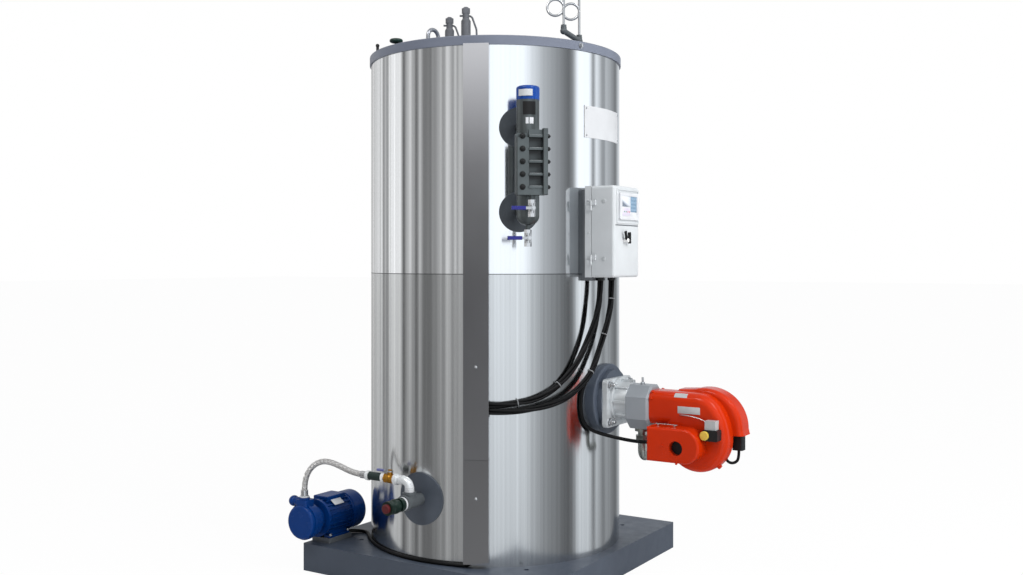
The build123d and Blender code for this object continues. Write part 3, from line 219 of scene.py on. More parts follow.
class Finish:
    """A node tree, written one node at a time."""

    def __init__(self, tree):
        self.tree = tree

    def node(self, kind, settings=None, sockets=None, output=0):
        """Adds one node: its settings first, then its sockets' values or links."""
        made = self.tree.nodes.new(kind)
        for key, value in (settings or {}).items():
            if key == "stops":
                self.set_stops(made.color_ramp, value)
            else:
                setattr(made, key, value)
        for key, value in (sockets or {}).items():
            if isinstance(value, Level):
                self.tree.links.new(value.socket, made.inputs[key])
            else:
                made.inputs[key].default_value = value
        return Level(self, made.outputs[output])

    def set_stops(self, ramp, stops):
        while len(ramp.elements) < len(stops):
            ramp.elements.new(0.5)
        for element, (place, colour) in zip(ramp.elements, stops):
            element.position = place
            element.color = colour

    def spot(self):
        """Object coordinates in metres."""
        return self.node("ShaderNodeTexCoord", output=3)

    def along(self, axis):
        return self.node("ShaderNodeSeparateXYZ", {}, {0: self.spot()}, axis)

    def near(self, place, reach):
        """1 within reach of a place, 0 elsewhere."""
        gap = self.node("ShaderNodeVectorMath", {"operation": "DISTANCE"}, {0: self.spot(), 1: place}, 1)
        return gap < reach

    def noise(self, scale, stretch=(1, 1, 1), detail=3.0, rough=0.5):
        place = self.node("ShaderNodeMapping", {}, {0: self.spot(), 3: stretch})
        sockets = {"Vector": place, "Scale": scale, "Detail": detail, "Roughness": rough}
        return self.node("ShaderNodeTexNoise", {}, sockets)

    def ramp(self, level, low, high, start=0.3, end=0.7):
        """A level stretched from start..end to low..high."""
        return self.node("ShaderNodeMapRange", {}, {0: level, 1: start, 2: end, 3: low, 4: high})

    def mix(self, level, first, second):
        return self.node("ShaderNodeMix", {"data_type": "RGBA"}, {0: level, 6: first, 7: second}, 2)

    def tint(self, level, colour, low=0.9, high=1.06):
        """A colour that drifts darker and lighter with a level."""
        return self.mix(self.ramp(level, 0, 1), shade(colour, low), shade(colour, high))

    def bump(self, height, strength, distance):
        return self.node("ShaderNodeBump", {}, {"Strength": strength, "Distance": distance, "Height": height})


def finish_of(name, **values):
    """A new material with plain values on its shader, its tree and a setter for sockets that vary."""
    material = bpy.data.materials.new(name)
    material.use_nodes = True
    shader = material.node_tree.nodes["Principled BSDF"]
    for key, value in values.items():
        shader.inputs[key.replace("_", " ").title().replace("Ior", "IOR")].default_value = value

    def vary(socket, level):
        material.node_tree.links.new(level.socket, shader.inputs[socket])

    return material, Finish(material.node_tree), vary


def enamel(name, colour, rough=0.35, coat=0.2, peel=0.12, gloss=0.4):
    """Sprayed paint with faint orange peel, uneven gloss and a little pale dust speckle."""
    material, tree, vary = finish_of(name, coat_weight=coat, coat_roughness=0.12, specular_ior_level=gloss)
    paint = tree.tint(tree.noise(5.0, detail=5.0), colour)
    specks = tree.ramp(tree.noise(160.0, detail=5.0, rough=0.7), 0.0, 0.25, 0.62, 0.8)
    vary("Base Color", tree.mix(specks, paint, shade(colour, 1.25)))
    vary("Roughness", tree.ramp(tree.noise(18.0, detail=4.0), rough - 0.06, rough + 0.08))
    vary("Normal", tree.bump(tree.noise(420.0, detail=2.0), peel, 0.0006))
    return material


def casting(name, colour, rough=0.5, metal=0.0, grain=0.5, second=None, split=None):
    """Sand cast metal with a pebbled skin; split gives where the second colour shows."""
    material, tree, vary = finish_of(name, metallic=metal)
    pits = tree.noise(320.0, detail=6.0, rough=0.65)
    cloud = tree.noise(14.0, detail=4.0)
    skin = tree.tint(cloud, colour, 0.82, 1.08)
    if second:
        skin = tree.mix(split(tree), skin, tree.tint(cloud, second, 0.86, 1.04))
    vary("Base Color", skin)
    vary("Roughness", tree.ramp(pits, rough - 0.08, rough + 0.14))
    vary("Normal", tree.bump(pits, grain, 0.0012))
    return material


BRUSH_STRETCH = (260, 260, 2.2)
STREAK_STRETCH = (75, 75, 0.12)
WAVE_STRETCH = (9, 9, 0.25)


def brushed(
        name, colour, rough=0.22, stretch=BRUSH_STRETCH, strength=0.05, waves=0.0, across=0.0, metal=1.0,
        streaks=0.0):
    """Metal with fine brush lines; sheet may have upright streaks and a slow dish from rolling."""
    material, tree, vary = finish_of(name, metallic=metal, anisotropic=across, anisotropic_rotation=0.25)
    lines = tree.noise(1.0, stretch, detail=6.0, rough=0.7)
    cloud = tree.noise(3.0, detail=4.0)
    spread = min(0.05, 2 * strength)
    skin = tree.tint(lines, colour, 1 - spread, 1 + spread)
    if streaks:
        skin = tree.tint(tree.noise(1.0, STREAK_STRETCH, detail=3.0), colour, 1 - streaks, 1 + streaks)
    vary("Base Color", skin)
    vary("Roughness", tree.ramp(lines, rough - spread, rough + spread) + tree.ramp(cloud, -0.02, 0.03))
    height = lines * strength
    if waves:
        height = height + tree.noise(1.0, WAVE_STRETCH, detail=2.0) * waves
    vary("Normal", tree.bump(height, 0.35, 0.004))
    return material


def plastic(name, colour, rough=0.4, grain=0.15, second=None, split=None):
    material, tree, vary = finish_of(name, specular_ior_level=0.4)
    cloud = tree.noise(30.0, detail=3.0)
    skin = tree.tint(cloud, colour, 0.92, 1.08)
    if second:
        skin = tree.mix(split(tree), skin, tree.tint(cloud, second, 0.92, 1.06))
    vary("Base Color", skin)
    vary("Roughness", tree.ramp(tree.noise(90.0, detail=3.0), rough - 0.05, rough + 0.08))
    vary("Normal", tree.bump(tree.noise(900.0, detail=2.0), grain, 0.0004))
    return material


def lever_finish(name, sleeve, spindle):
    """A dipped sleeve on a bare steel lever."""
    material, tree, vary = finish_of(name)
    bare = tree.near(spindle, 0.0275)
    cloud = tree.noise(40.0, detail=4.0)
    vary("Base Color", tree.mix(bare, tree.tint(cloud, sleeve), tree.tint(cloud, srgb(196, 198, 200))))
    vary("Metallic", bare)
    vary("Roughness", tree.ramp(cloud, 0.26, 0.38))
    vary("Normal", tree.bump(tree.noise(700.0), 0.12, 0.0005))
    return material


def sheath(name, colour):
    """Soft cable jacket with a little dust."""
    material, tree, vary = finish_of(name, specular_ior_level=0.2)
    dust = tree.noise(60.0, detail=4.0)
    vary("Base Color", tree.mix(tree.ramp(dust, 0, 1, 0.45, 0.8), colour, shade(colour, 1.9)))
    vary("Roughness", tree.ramp(dust, 0.38, 0.55))
    vary("Normal", tree.bump(tree.noise(500.0), 0.08, 0.0004))
    return material


def window_glass(name, colour):
    """Reflex glass with painted shadow below each rib of the cover, paler toward the next."""
    material, tree, vary = finish_of(name, roughness=0.22, specular_ior_level=0.3)
    ridges = tree.noise(1.0, (3, 3, 900), detail=1.0)
    step = COVER_ROWS[1] - COVER_ROWS[0]
    # Painted shadow: dark just under each rib, fading to the glass colour toward the next rib
    place = ((tree.along(2) - (COVER_Z + COVER_ROWS[0])) / step).math("FRACT")
    pale = tree.ramp(place, 1.0, 0.0, 0.45, 0.72)
    vary("Base Color", tree.mix(pale, shade(colour, 0.3), tree.tint(ridges, colour, 0.8, 1.1)))
    vary("Normal", tree.bump(ridges, 0.1, 0.0005))
    return material


def clear_glass(name):
    material, tree, vary = finish_of(name, roughness=0.04, alpha=0.16)
    vary("Base Color", tree.tint(tree.noise(12.0), srgb(226, 234, 236), 0.96, 1.02))
    return material


def screen_glow(name):
    """A pale display with a darker foot and soft rows of light."""
    material, tree, vary = finish_of(name, roughness=0.12, coat_weight=0.4)
    fall = tree.along(2) * 9.0 + tree.along(1) * 3.5 - 12.96
    rows = tree.noise(1.0, (1, 20, 160), detail=2.0)
    pale = tree.tint(rows, srgb(226, 232, 240), 0.92, 1.04)
    vary("Base Color", tree.mix(tree.ramp(fall, 0, 1, 0.08, 0.20), srgb(112, 122, 136), pale))
    return material


def check_ends(tree):
    """1 on the union rings at both ends of the check valve."""
    x = tree.along(0)
    return (x > CHECK_RINGS[1]) + (x < CHECK_RINGS[0])


STEEL = srgb(205, 206, 208)
FINISHES = {
    "slate_paint": enamel("slate_paint", srgb(70, 78, 90), 0.45, 0.1),
    "brushed_stainless": brushed(
        "brushed_stainless", srgb(206, 208, 209), 0.15, strength=0.01, waves=0.10, across=0.8, streaks=0.10),
    "polished_stainless": brushed(
        "polished_stainless", srgb(236, 238, 240), 0.10, strength=0.004, waves=0.12, across=0.6,
        streaks=0.03),
    "cap_paint": enamel("cap_paint", srgb(112, 118, 132), 0.4, 0.15),
    "dark_enamel": casting("dark_enamel", srgb(54, 59, 64), 0.36, 0.2, 0.08),
    "column_enamel": casting("column_enamel", srgb(96, 102, 103), 0.32, 0.75, 0.06),
    "white_plate": enamel("white_plate", srgb(200, 202, 204), 0.35, 0.1, 0.03),
    "steel_pipe": brushed("steel_pipe", STEEL, 0.22, (90, 90, 40), 0.06),
    "valve_grey": casting("valve_grey", srgb(108, 110, 115), 0.42, 0.3, 0.3),
    "vent_green": casting(
        "vent_green", srgb(16, 46, 38), 0.4, 0.0, 0.3, srgb(20, 20, 22),
        lambda tree: tree.near((-0.345, -0.373, 2.165), 0.048)),
    "black_plastic": plastic("black_plastic", srgb(14, 14, 15), 0.45),
    "cap_blue": plastic("cap_blue", srgb(8, 62, 142), 0.28, 0.05),
    "lever_blue": plastic("lever_blue", srgb(28, 30, 116), 0.35, 0.1),
    "gauge_glass": window_glass("gauge_glass", srgb(62, 68, 70)),
    "cabinet_paint": enamel("cabinet_paint", srgb(202, 206, 208), 0.42, 0.05, 0.25, 0.25),
    "bracket_paint": enamel("bracket_paint", srgb(104, 108, 112), 0.45, 0.1, 0.25),
    "display_grey": plastic("display_grey", srgb(212, 214, 217), 0.36),
    "cast_aluminium": casting("cast_aluminium", srgb(214, 218, 220), 0.34, 0.5, 0.25),
    "block_grey": enamel("block_grey", srgb(140, 145, 150), 0.4, 0.15, 0.2),
    "burner_orange": enamel("burner_orange", srgb(190, 44, 4), 0.2, 0.14, 0.05, 0.16),
    "dial_yellow": plastic("dial_yellow", srgb(206, 176, 70), 0.35),
    "gas_zinc": brushed("gas_zinc", srgb(170, 172, 166), 0.3, (70, 70, 70), 0.08),
    "tee_grey": casting("tee_grey", srgb(92, 97, 100), 0.5, 0.2, 0.5),
    "brass": casting("brass", srgb(186, 134, 52), 0.3, 1.0, 0.2),
    "blowdown_green": casting("blowdown_green", srgb(8, 34, 26), 0.36, 0.2, 0.3),
    "plug_red": plastic("plug_red", srgb(84, 20, 24), 0.4),
    "pump_blue": enamel("pump_blue", srgb(4, 52, 116), 0.24, 0.12, 0.1, 0.18),
    "cable_black": sheath("cable_black", srgb(11, 11, 12)),
    "hose_braid": brushed("hose_braid", srgb(206, 204, 202), 0.36, (300, 300, 300), 0.02, metal=0.8),
}
NODE_FINISHES = {
    "check_valve": casting("check_valve", srgb(26, 44, 40), 0.4, 0.1, 0.3, srgb(226, 228, 228), check_ends),
    "air_switch": plastic(
        "air_switch", srgb(22, 22, 24), 0.42, 0.15, srgb(168, 170, 170),
        lambda tree: tree.along(2) > AIR_BOX_TOP),
    "gauge_lever": lever_finish("gauge_lever", srgb(28, 30, 116), (0.5376, -0.5748, 1.468)),
    "drain_lever": lever_finish("drain_lever", srgb(28, 30, 116), (0.4938, -0.5275, 1.362)),
    "feed_lever": lever_finish("feed_lever", srgb(92, 96, 146), (-0.095, -0.600, 0.461)),
    "rosettes": casting(
        "rosettes", srgb(54, 59, 64), 0.36, 0.2, 0.08, srgb(78, 85, 95),
        lambda tree: tree.along(2) < FEED_ROSETTE_TOP),
    "feed_elbow": brushed("feed_elbow", srgb(226, 229, 230), 0.28, (60, 60, 60), 0.06, metal=0.35),
    "trunking_upper": brushed("trunk_sheet", srgb(214, 215, 220), 0.12, strength=0.004),
    "trunking_lower": brushed("trunk_foot", srgb(208, 209, 213), 0.12, strength=0.004),
    "cabinet_lock": plastic(
        "cabinet_lock", srgb(10, 10, 11), 0.5, 0.15, srgb(190, 194, 196),
        lambda tree: tree.along(0) < LOCK_PLATE_FRONT),
    "lifting_lugs": brushed("lifting_lugs", srgb(176, 178, 184), 0.3, (60, 60, 60), 0.08),
}
CLEAR = clear_glass("clear_glass")
SCREEN = screen_glow("screen")
KEYPAD = plastic("keypad", srgb(120, 148, 172), 0.3)
KEYS = plastic("keys", srgb(142, 168, 190), 0.34)
FOOT_STRIP = plastic("foot_strip", srgb(212, 206, 222), 0.34)
LAMP_RED = plastic("lamp_red", srgb(190, 60, 70), 0.25)
LAMP_GREEN = plastic("lamp_green", srgb(60, 140, 90), 0.25)
DIAL_WHITE = plastic("dial_white", srgb(226, 227, 226), 0.4, 0.03)
NUT_BLACK = casting("nut_black", srgb(12, 13, 14), 0.5, 0.0, 0.2)
# Pale grey of the painted highlight strips along the ribs' top edges
RIB_HIGHLIGHT_GREY = casting("rib_highlight_grey", srgb(132, 137, 138), 0.4, 0.3, 0.2)
PLUG_GREY = enamel("plug_grey", srgb(184, 188, 190), 0.42, 0.1)
TAG_GREY = plastic("tag_grey", srgb(176, 178, 178), 0.35)
CABLE_TIE = plastic("cable_tie", srgb(122, 124, 126), 0.4)
SEAM_GREY = brushed("seam_grey", srgb(92, 94, 96), 0.3, (40, 40, 40), 0.05)

for entry in frame["record"]["subparts"]:
    mesh = nodes[entry["node"]].data
    mesh.materials.clear()
    mesh.materials.append(NODE_FINISHES.get(entry["node"], FINISHES[entry["material_slot"]]))


def outward(azimuth):
    """The level direction away from the boiler axis; 0 is -Y and 90 is +X."""
    angle = math.radians(azimuth)
    return Vector((math.sin(angle), -math.cos(angle), 0))


def polar(azimuth, radius, height):
    return tuple(outward(azimuth) * radius + Vector((0, 0, height)))


def facing(place, out, up=(0, 0, 1)):
    """A placing whose Z points out of a surface and whose Y is close to up."""
    z = Vector(out).normalized()
    x = Vector(up).cross(z)
    if x.length < 0.1:
        x = Vector((0, 1, 0)).cross(z)
    x.normalize()
    turn = Matrix((x, z.cross(x), z)).transposed().to_4x4()
    turn.translation = Vector(place)
    return turn


def ease(bm, edges, width, steps=2):
    bmesh.ops.bevel(
        bm, geom=list(edges), offset=width, affect="EDGES", segments=steps, profile=0.5, material=-1)


def bar(bm, placing, radius, low, high, sides=24, edge=0.0, tip=None):
    """A round or hexagonal bar along the placing's Z, with eased ends."""
    middle = placing @ Matrix.Translation((0, 0, (low + high) / 2))
    top = radius if tip is None else tip
    made = bmesh.ops.create_cone(
        bm, cap_ends=True, segments=sides, radius1=radius, radius2=top, depth=high - low, matrix=middle)
    if edge:
        edges = {e for vert in made["verts"] for e in vert.link_edges}
        ease(bm, [e for e in edges if any(len(face.verts) > 4 for face in e.link_faces)], edge)


def slab(bm, placing, size, edge=0.0):
    made = bmesh.ops.create_cube(bm, size=1.0, matrix=placing @ Matrix.Diagonal((*size, 1.0)))
    if edge:
        ease(bm, {e for vert in made["verts"] for e in vert.link_edges}, edge)


def lathe(bm, placing, profile, sides=32, ring=False):
    """Spins a profile of radius and height round the placing's Z; a ring's profile closes on itself."""
    verts = [bm.verts.new(placing @ Vector((radius, 0, height))) for radius, height in profile]
    pairs = list(zip(verts, verts[1:]))
    if ring:
        pairs.append((verts[-1], verts[0]))
    edges = [bm.edges.new(pair) for pair in pairs]
    bmesh.ops.spin(
        bm, geom=verts + edges, cent=placing.translation, axis=placing.col[2].to_3d(), angle=2 * math.pi,
        steps=sides, use_merge=True)


def band(bm, placing, inner, outer, low, high, sides=32):
    lip = min(outer - inner, high - low) * 0.25
    profile = [
        (inner, low), (outer - lip, low), (outer, low + lip), (outer, high - lip), (outer - lip, high),
        (inner, high)]
    lathe(bm, placing, profile, sides, ring=True)


def bent_plate(bm, placing, radius, half_turn, low, high, thick, steps=10):
    """A thin plate bent round the placing's Z, with its middle on the placing's X."""
    start = placing @ Matrix.Rotation(-half_turn, 4, "Z")
    corners = [(radius, low), (radius + thick, low), (radius + thick, high), (radius, high)]
    verts = [bm.verts.new(start @ Vector((away, 0, height))) for away, height in corners]
    edges = [bm.edges.new(pair) for pair in zip(verts, verts[1:] + verts[:1])]
    bmesh.ops.spin(
        bm, geom=verts + edges, cent=placing.translation, axis=placing.col[2].to_3d(), angle=2 * half_turn,
        steps=steps)
    bmesh.ops.holes_fill(bm, edges=[e for e in bm.edges if e.is_boundary], sides=4)


def bolt(bm, place, out, width, height, washer=True):
    """A hexagon head on a washer."""
    placing = facing(place, out)
    base = 0.0
    if washer:
        base = width * 0.14
        bar(bm, placing, width * 0.72, 0, base, 20)
    bar(bm, placing, width * 0.577, base, base + height, 6, width * 0.06)


def screw(bm, place, out, radius):
    """A pan head, low at its middle."""
    profile = [(0, radius * 0.5), (radius * 0.3, radius * 0.62), (radius * 0.8, radius * 0.5), (radius, 0)]
    lathe(bm, facing(place, out), profile, 20)


def finish_piece(name, bm, slot, body="boiler", finish=None):
    """Makes a bmesh a piece of the object that rides on a body."""
    bmesh.ops.remove_doubles(bm, verts=bm.verts, dist=1e-6)
    bmesh.ops.recalc_face_normals(bm, faces=bm.faces)
    mesh = bpy.data.meshes.new(name)
    bm.to_mesh(mesh)
    bm.free()
    mesh.shade_smooth()
    mesh.set_sharp_from_angle(angle=math.radians(32))
    mesh.materials.append(finish or FINISHES[slot])
    piece = bpy.data.objects.new(name, mesh)
    scene.collection.objects.link(piece)
    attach(piece, body)
    return piece


def route_curve(name, points, radius, fineness=8):
    """A smooth round cord with the route's points as its control points."""
    curve = bpy.data.curves.new(name, "CURVE")
    curve.dimensions = "3D"
    line = curve.splines.new("NURBS")
    line.points.add(len(points) - 1)
    for point, place in zip(line.points, points):
        point.co = (*place, 1.0)
    line.order_u = 3
    line.use_endpoint_u = True
    line.resolution_u = fineness
    curve.bevel_depth = radius
    curve.bevel_resolution = 5
    curve.use_fill_caps = True
    piece = bpy.data.objects.new(name, curve)
    scene.collection.objects.link(piece)
    return piece


def take_mesh(piece):
    """The mesh of a curve or text; the curve itself is removed."""
    mesh = bpy.data.meshes.new_from_object(piece)
    bpy.data.objects.remove(piece)
    return mesh


def read_path(points, fineness):
    """Places along the smooth line that a route gives."""
    mesh = take_mesh(route_curve("route", points, 0.0, fineness))
    path = [vert.co.copy() for vert in mesh.vertices]
    bpy.data.meshes.remove(mesh)
    return path


def winding(path, turns, start, offset):
    """Places that wind round a path at a distance, as a strand does."""
    length = sum((b - a).length for a, b in zip(path, path[1:]))
    side = Vector((1, 0, 0))
    done = 0.0
    places = []
    for index, place in enumerate(path):
        before = path[max(index - 1, 0)]
        ahead = (path[min(index + 1, len(path) - 1)] - before).normalized()
        side = (side - ahead * side.dot(ahead)).normalized()
        done += (place - before).length
        angle = start + 2 * math.pi * turns * done / length
        places.append(place + offset * (math.cos(angle) * side + math.sin(angle) * ahead.cross(side)))
    return places


def strands(name, lines, radius, fineness):
    """Round wires through the given places, in one bmesh."""
    curve = bpy.data.curves.new(name, "CURVE")
    curve.dimensions = "3D"
    for line in lines:
        spline = curve.splines.new("POLY")
        spline.points.add(len(line) - 1)
        for point, place in zip(spline.points, line):
            point.co = (*place, 1.0)
    curve.bevel_depth = radius
    curve.bevel_resolution = fineness
    curve.use_fill_caps = True
    holder = bpy.data.objects.new(name, curve)
    scene.collection.objects.link(holder)
    mesh = take_mesh(holder)
    bm = bmesh.new()
    bm.from_mesh(mesh)
    bpy.data.meshes.remove(mesh)
    return bm


def cable_ties(name, path, places):
    """Bands round a bundle, each with its square head."""
    bm = bmesh.new()
    for near in places:
        spot = Vector(polar(*near))
        index = min(range(1, len(path) - 1), key=lambda i: (path[i] - spot).length)
        placing = facing(path[index], path[index + 1] - path[index - 1])
        band(bm, placing, BUNDLE_R - 0.0006, BUNDLE_R + 0.0010, -0.0019, 0.0019, 24)
        slab(bm, placing @ Matrix.Translation((0, BUNDLE_R + 0.0015, 0)), (0.006, 0.004, 0.005), 0.001)
    return finish_piece(name, bm, "white_plate", finish=CABLE_TIE)


def lay_bundle(name, points, ties):
    """Three cables tied in a bundle, in place of the CAD tube."""
    path = read_path(points, 10)
    cable = BUNDLE_R / 2.16
    lines = [winding(path, 1.3, turn * math.tau / 3, cable * 1.155) for turn in range(3)]
    piece = finish_piece(name + "_cord", strands(name, lines, cable, 3), "cable_black")
    tied = cable_ties(name + "_ties", path, ties)
    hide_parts(name)


def lay_cord(name, points, radius, slot, extras=()):
    piece = route_curve(name + "_cord", points, radius)
    piece.data.materials.append(FINISHES[slot])
    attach(piece, "boiler")
    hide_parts(name)


def hose_braid():
    """Fine wires wound both ways round the feed hose."""
    path = read_path(HOSE_ROUTE, 22)
    count = 14
    turns = 11
    lines = [
        winding(path, way * turns, wire * math.tau / count, HOSE_R)
        for way in (-1, 1) for wire in range(count)]
    return finish_piece("hose_braid", strands("hose_braid", lines, 0.0009, 0), "hose_braid")


def hose_ends():
    """A pressed ferrule at each end of the hose."""
    bm = bmesh.new()
    start, end = HOSE_ROUTE[0], HOSE_ROUTE[-1]
    band(bm, facing(start, (-1, 0, 0)), 0.0105, 0.0145, 0.0, 0.030)
    band(bm, facing(end, (0, 0, 1)), 0.0105, 0.0150, 0.006, 0.030)
    return finish_piece("hose_ferrules", bm, "steel_pipe")


lay_bundle("harness_left", LEFT_GLAND + [polar(*p) for p in LEFT_ROUTE], LEFT_TIES)
lay_bundle("harness_right", RIGHT_GLAND + [polar(*p) for p in RIGHT_ROUTE], RIGHT_TIES)
lay_cord(
    "burner_lead", [polar(*p) for p in BURNER_ROUTE] + BURNER_END, LEAD_R, "cable_black")
lay_cord(
    "pump_lead", PUMP_START + [polar(*p) for p in PUMP_ROUTE], LEAD_R, "cable_black")
lay_cord("plug_lead", PLUG_ROUTE, PLUG_LEAD_R, "cable_black")
lay_cord("feed_hose", HOSE_ROUTE, HOSE_R, "hose_braid", [hose_braid(), hose_ends()])


def cladding_trim():
    """The dark lap line between the two drums of cladding, the trunking's screws and a bolt on the rim."""
    bm = bmesh.new()
    band(bm, facing((0, 0, SEAM_Z), (0, 0, 1)), SEAM_INNER, SEAM_OUTER, -SEAM_HALF, SEAM_HALF, 160)
    finish_piece("seam_line", bm, "brushed_stainless", finish=SEAM_GREY)
    bm = bmesh.new()
    for height in TRUNK_SCREWS:
        screw(bm, polar(TRUNK_AZ, TRUNK_FACE, height), outward(TRUNK_AZ), 0.006)
    bolt(bm, polar(RIM_BOLT_AZ, RIM_FACE, RIM_BOLT_Z), outward(RIM_BOLT_AZ), 0.015, 0.007)
    finish_piece("trim_screws", bm, "steel_pipe")


def plate_rivets():
    bm = bmesh.new()
    for azimuth in (NAME_PLATE_AZ - RIVET_TURN, NAME_PLATE_AZ + RIVET_TURN):
        for rise in (-RIVET_RISE, RIVET_RISE):
            screw(bm, polar(azimuth, NAME_PLATE_FACE, NAME_PLATE_Z + rise), outward(azimuth), 0.0038)
    finish_piece("plate_rivets", bm, "steel_pipe")


def column_labels():
    """Bare plates on the level column: a pale one on its cap, a black one and two pale ones below."""
    axis = Vector(polar(GAUGE_AZ, COLUMN_OUT, 0))

    def patch(name, slot, azimuth, half, low, high, radius):
        bm = bmesh.new()
        out = outward(azimuth)
        placing = Matrix.Translation(axis) @ Matrix.Rotation(math.atan2(out.y, out.x), 4, "Z")
        bent_plate(bm, placing, radius, math.radians(half), low, high, 0.0006)
        finish_piece(name, bm, slot)

    patch("cap_label", "white_plate", 19.0, 34.0, 1.877, 1.901, COLUMN_CAP_R)
    patch("column_plate", "black_plastic", 39.0, 33.0, 1.809, 1.857, COLUMN_R)
    patch("column_tag_left", "display_grey", 28.0, 7.0, 1.776, 1.799, COLUMN_R)
    patch("column_tag_right", "display_grey", 50.0, 10.0, 1.776, 1.799, COLUMN_R)


def gauge_bolts():
    """Nuts and stud ends on the cover's plate and bar, and a pale strip on each rib's top edge as a painted
    highlight.
    """
    out = outward(GAUGE_AZ)
    side = Vector((-out.y, out.x, 0))
    bm = bmesh.new()
    for rise in COVER_ROWS:
        place = out * PLATE_OUT + side * PLATE_SIDE + Vector((0, 0, COVER_Z + rise))
        bolt(bm, place, out, 0.015, 0.009)
        bar(bm, facing(place, out), 0.0042, 0.010, 0.016, 16, 0.001)
        place = out * BAR_OUT + side * BAR_SIDE + Vector((0, 0, COVER_Z + rise))
        bolt(bm, place, side, 0.013, 0.006)
        bar(bm, facing(place, side), 0.0036, 0.007, 0.011, 16, 0.001)
    finish_piece("gauge_nuts", bm, "column_enamel", finish=NUT_BLACK)
    # A pale strip along the top of each rib: painted highlight
    bm = bmesh.new()
    for rise in COVER_ROWS:
        place = out * RIB_OUT + side * WINDOW_SIDE + Vector((0, 0, COVER_Z + rise + RIB_HALF))
        slab(bm, facing(place, out), (0.050, 0.0018, 0.0018), 0.0005)
    finish_piece("rib_highlights", bm, "column_enamel", finish=RIB_HIGHLIGHT_GREY)


def cabinet_trim():
    """Screws and plugs on the cabinet's side, a frame round the display and a painted shadow strip below it.
    """
    bm = bmesh.new()
    for height in (1.267, 1.387, 1.512):
        screw(bm, (0.560, CABINET_SIDE, height), (0, -1, 0), 0.0042)
    finish_piece("tray_screws", bm, "cabinet_paint", finish=PLUG_GREY)
    bm = bmesh.new()
    for height in (1.286, 1.508):
        bar(bm, facing((0.6266, CABINET_SIDE, height), (0, -1, 0)), 0.009, -0.001, 0.0016, 24, 0.0008)
    finish_piece("door_plugs", bm, "cabinet_paint", "door", PLUG_GREY)
    bm = bmesh.new()
    for height in (1.5535, 1.4265):
        slab(bm, Matrix.Translation((DOOR_FRONT, -0.0865, height)), (FRAME_BAR, 0.190, FRAME_BAR), 0.0022)
    for across in (-0.178, 0.005):
        slab(bm, Matrix.Translation((DOOR_FRONT, across, 1.490)), (FRAME_BAR, FRAME_BAR, 0.127), 0.0022)
    finish_piece("display_frame", bm, "cabinet_paint", "door")
    # A thin dark sheet under the display frame: painted shadow
    bm = bmesh.new()
    slab(bm, Matrix.Translation((DOOR_FRONT + 0.0001, -0.092, 1.4165)), (0.0008, 0.196, 0.0045))
    finish_piece("frame_shadow_strip", bm, "bracket_paint", "door")


def display_face():
    """The pale screen, the key pad and the strip of small lamps, all bare."""
    bm = bmesh.new()
    slab(bm, Matrix.Translation((SCREEN_FLOOR, SCREEN_Y, 1.5085)), (0.0018, 0.067, 0.040), 0.0006)
    finish_piece("screen", bm, "display_grey", "door", SCREEN)
    bm = bmesh.new()
    slab(bm, Matrix.Translation((SCREEN_FLOOR, -0.0455, 1.4990)), (0.0012, 0.054, 0.060), 0.0004)
    finish_piece("key_pad", bm, "display_grey", "door", KEYPAD)
    bm = bmesh.new()
    for row in range(4):
        for column in range(3):
            place = (SCREEN_FLOOR + 0.0008, -0.0625 + 0.017 * column, 1.5200 - 0.014 * row)
            slab(bm, Matrix.Translation(place), (0.0016, 0.012, 0.0085), 0.0005)
    finish_piece("keys", bm, "display_grey", "door", KEYS)
    bm = bmesh.new()
    slab(bm, Matrix.Translation((SCREEN_FLOOR, SCREEN_Y, LAMP_Z)), (0.0012, 0.067, 0.030), 0.0004)
    finish_piece("lamp_strip", bm, "display_grey", "door", FOOT_STRIP)
    profile = [(0, 0.0022), (0.002, 0.0016), (0.0032, 0)]
    lamps = {"red_lamps": (LAMP_RED, (-0.082, -0.097)), "green_lamps": (LAMP_GREEN, (-0.112, -0.128))}
    for name, (finish, places) in lamps.items():
        bm = bmesh.new()
        for across in places:
            lathe(bm, facing((SCREEN_FLOOR + 0.0004, across, LAMP_Z), (1, 0, 0)), profile, 16)
        finish_piece(name, bm, "display_grey", "door", finish)


def lock_trim():
    """The lock's barrel beside the grip, with its key lever."""
    x, y, z = LOCK_AT
    bm = bmesh.new()
    profile = [(0, 0.0205), (0.0066, 0.0205), (0.0080, 0.0190), (0.0080, -0.0010), (0, -0.0010)]
    lathe(bm, facing((DOOR_FRONT, y - 0.021, z - 0.016), (1, 0, 0)), profile, 24)
    finish_piece("lock_barrel", bm, "cabinet_paint", "door", DIAL_WHITE)
    bm = bmesh.new()
    lean = Matrix.Rotation(math.radians(18), 4, "X")
    placing = Matrix.Translation((x - 0.004, y - 0.029, z + 0.003)) @ lean
    slab(bm, placing, (0.007, 0.012, 0.036), 0.002)
    finish_piece("lock_key", bm, "black_plastic", "door")


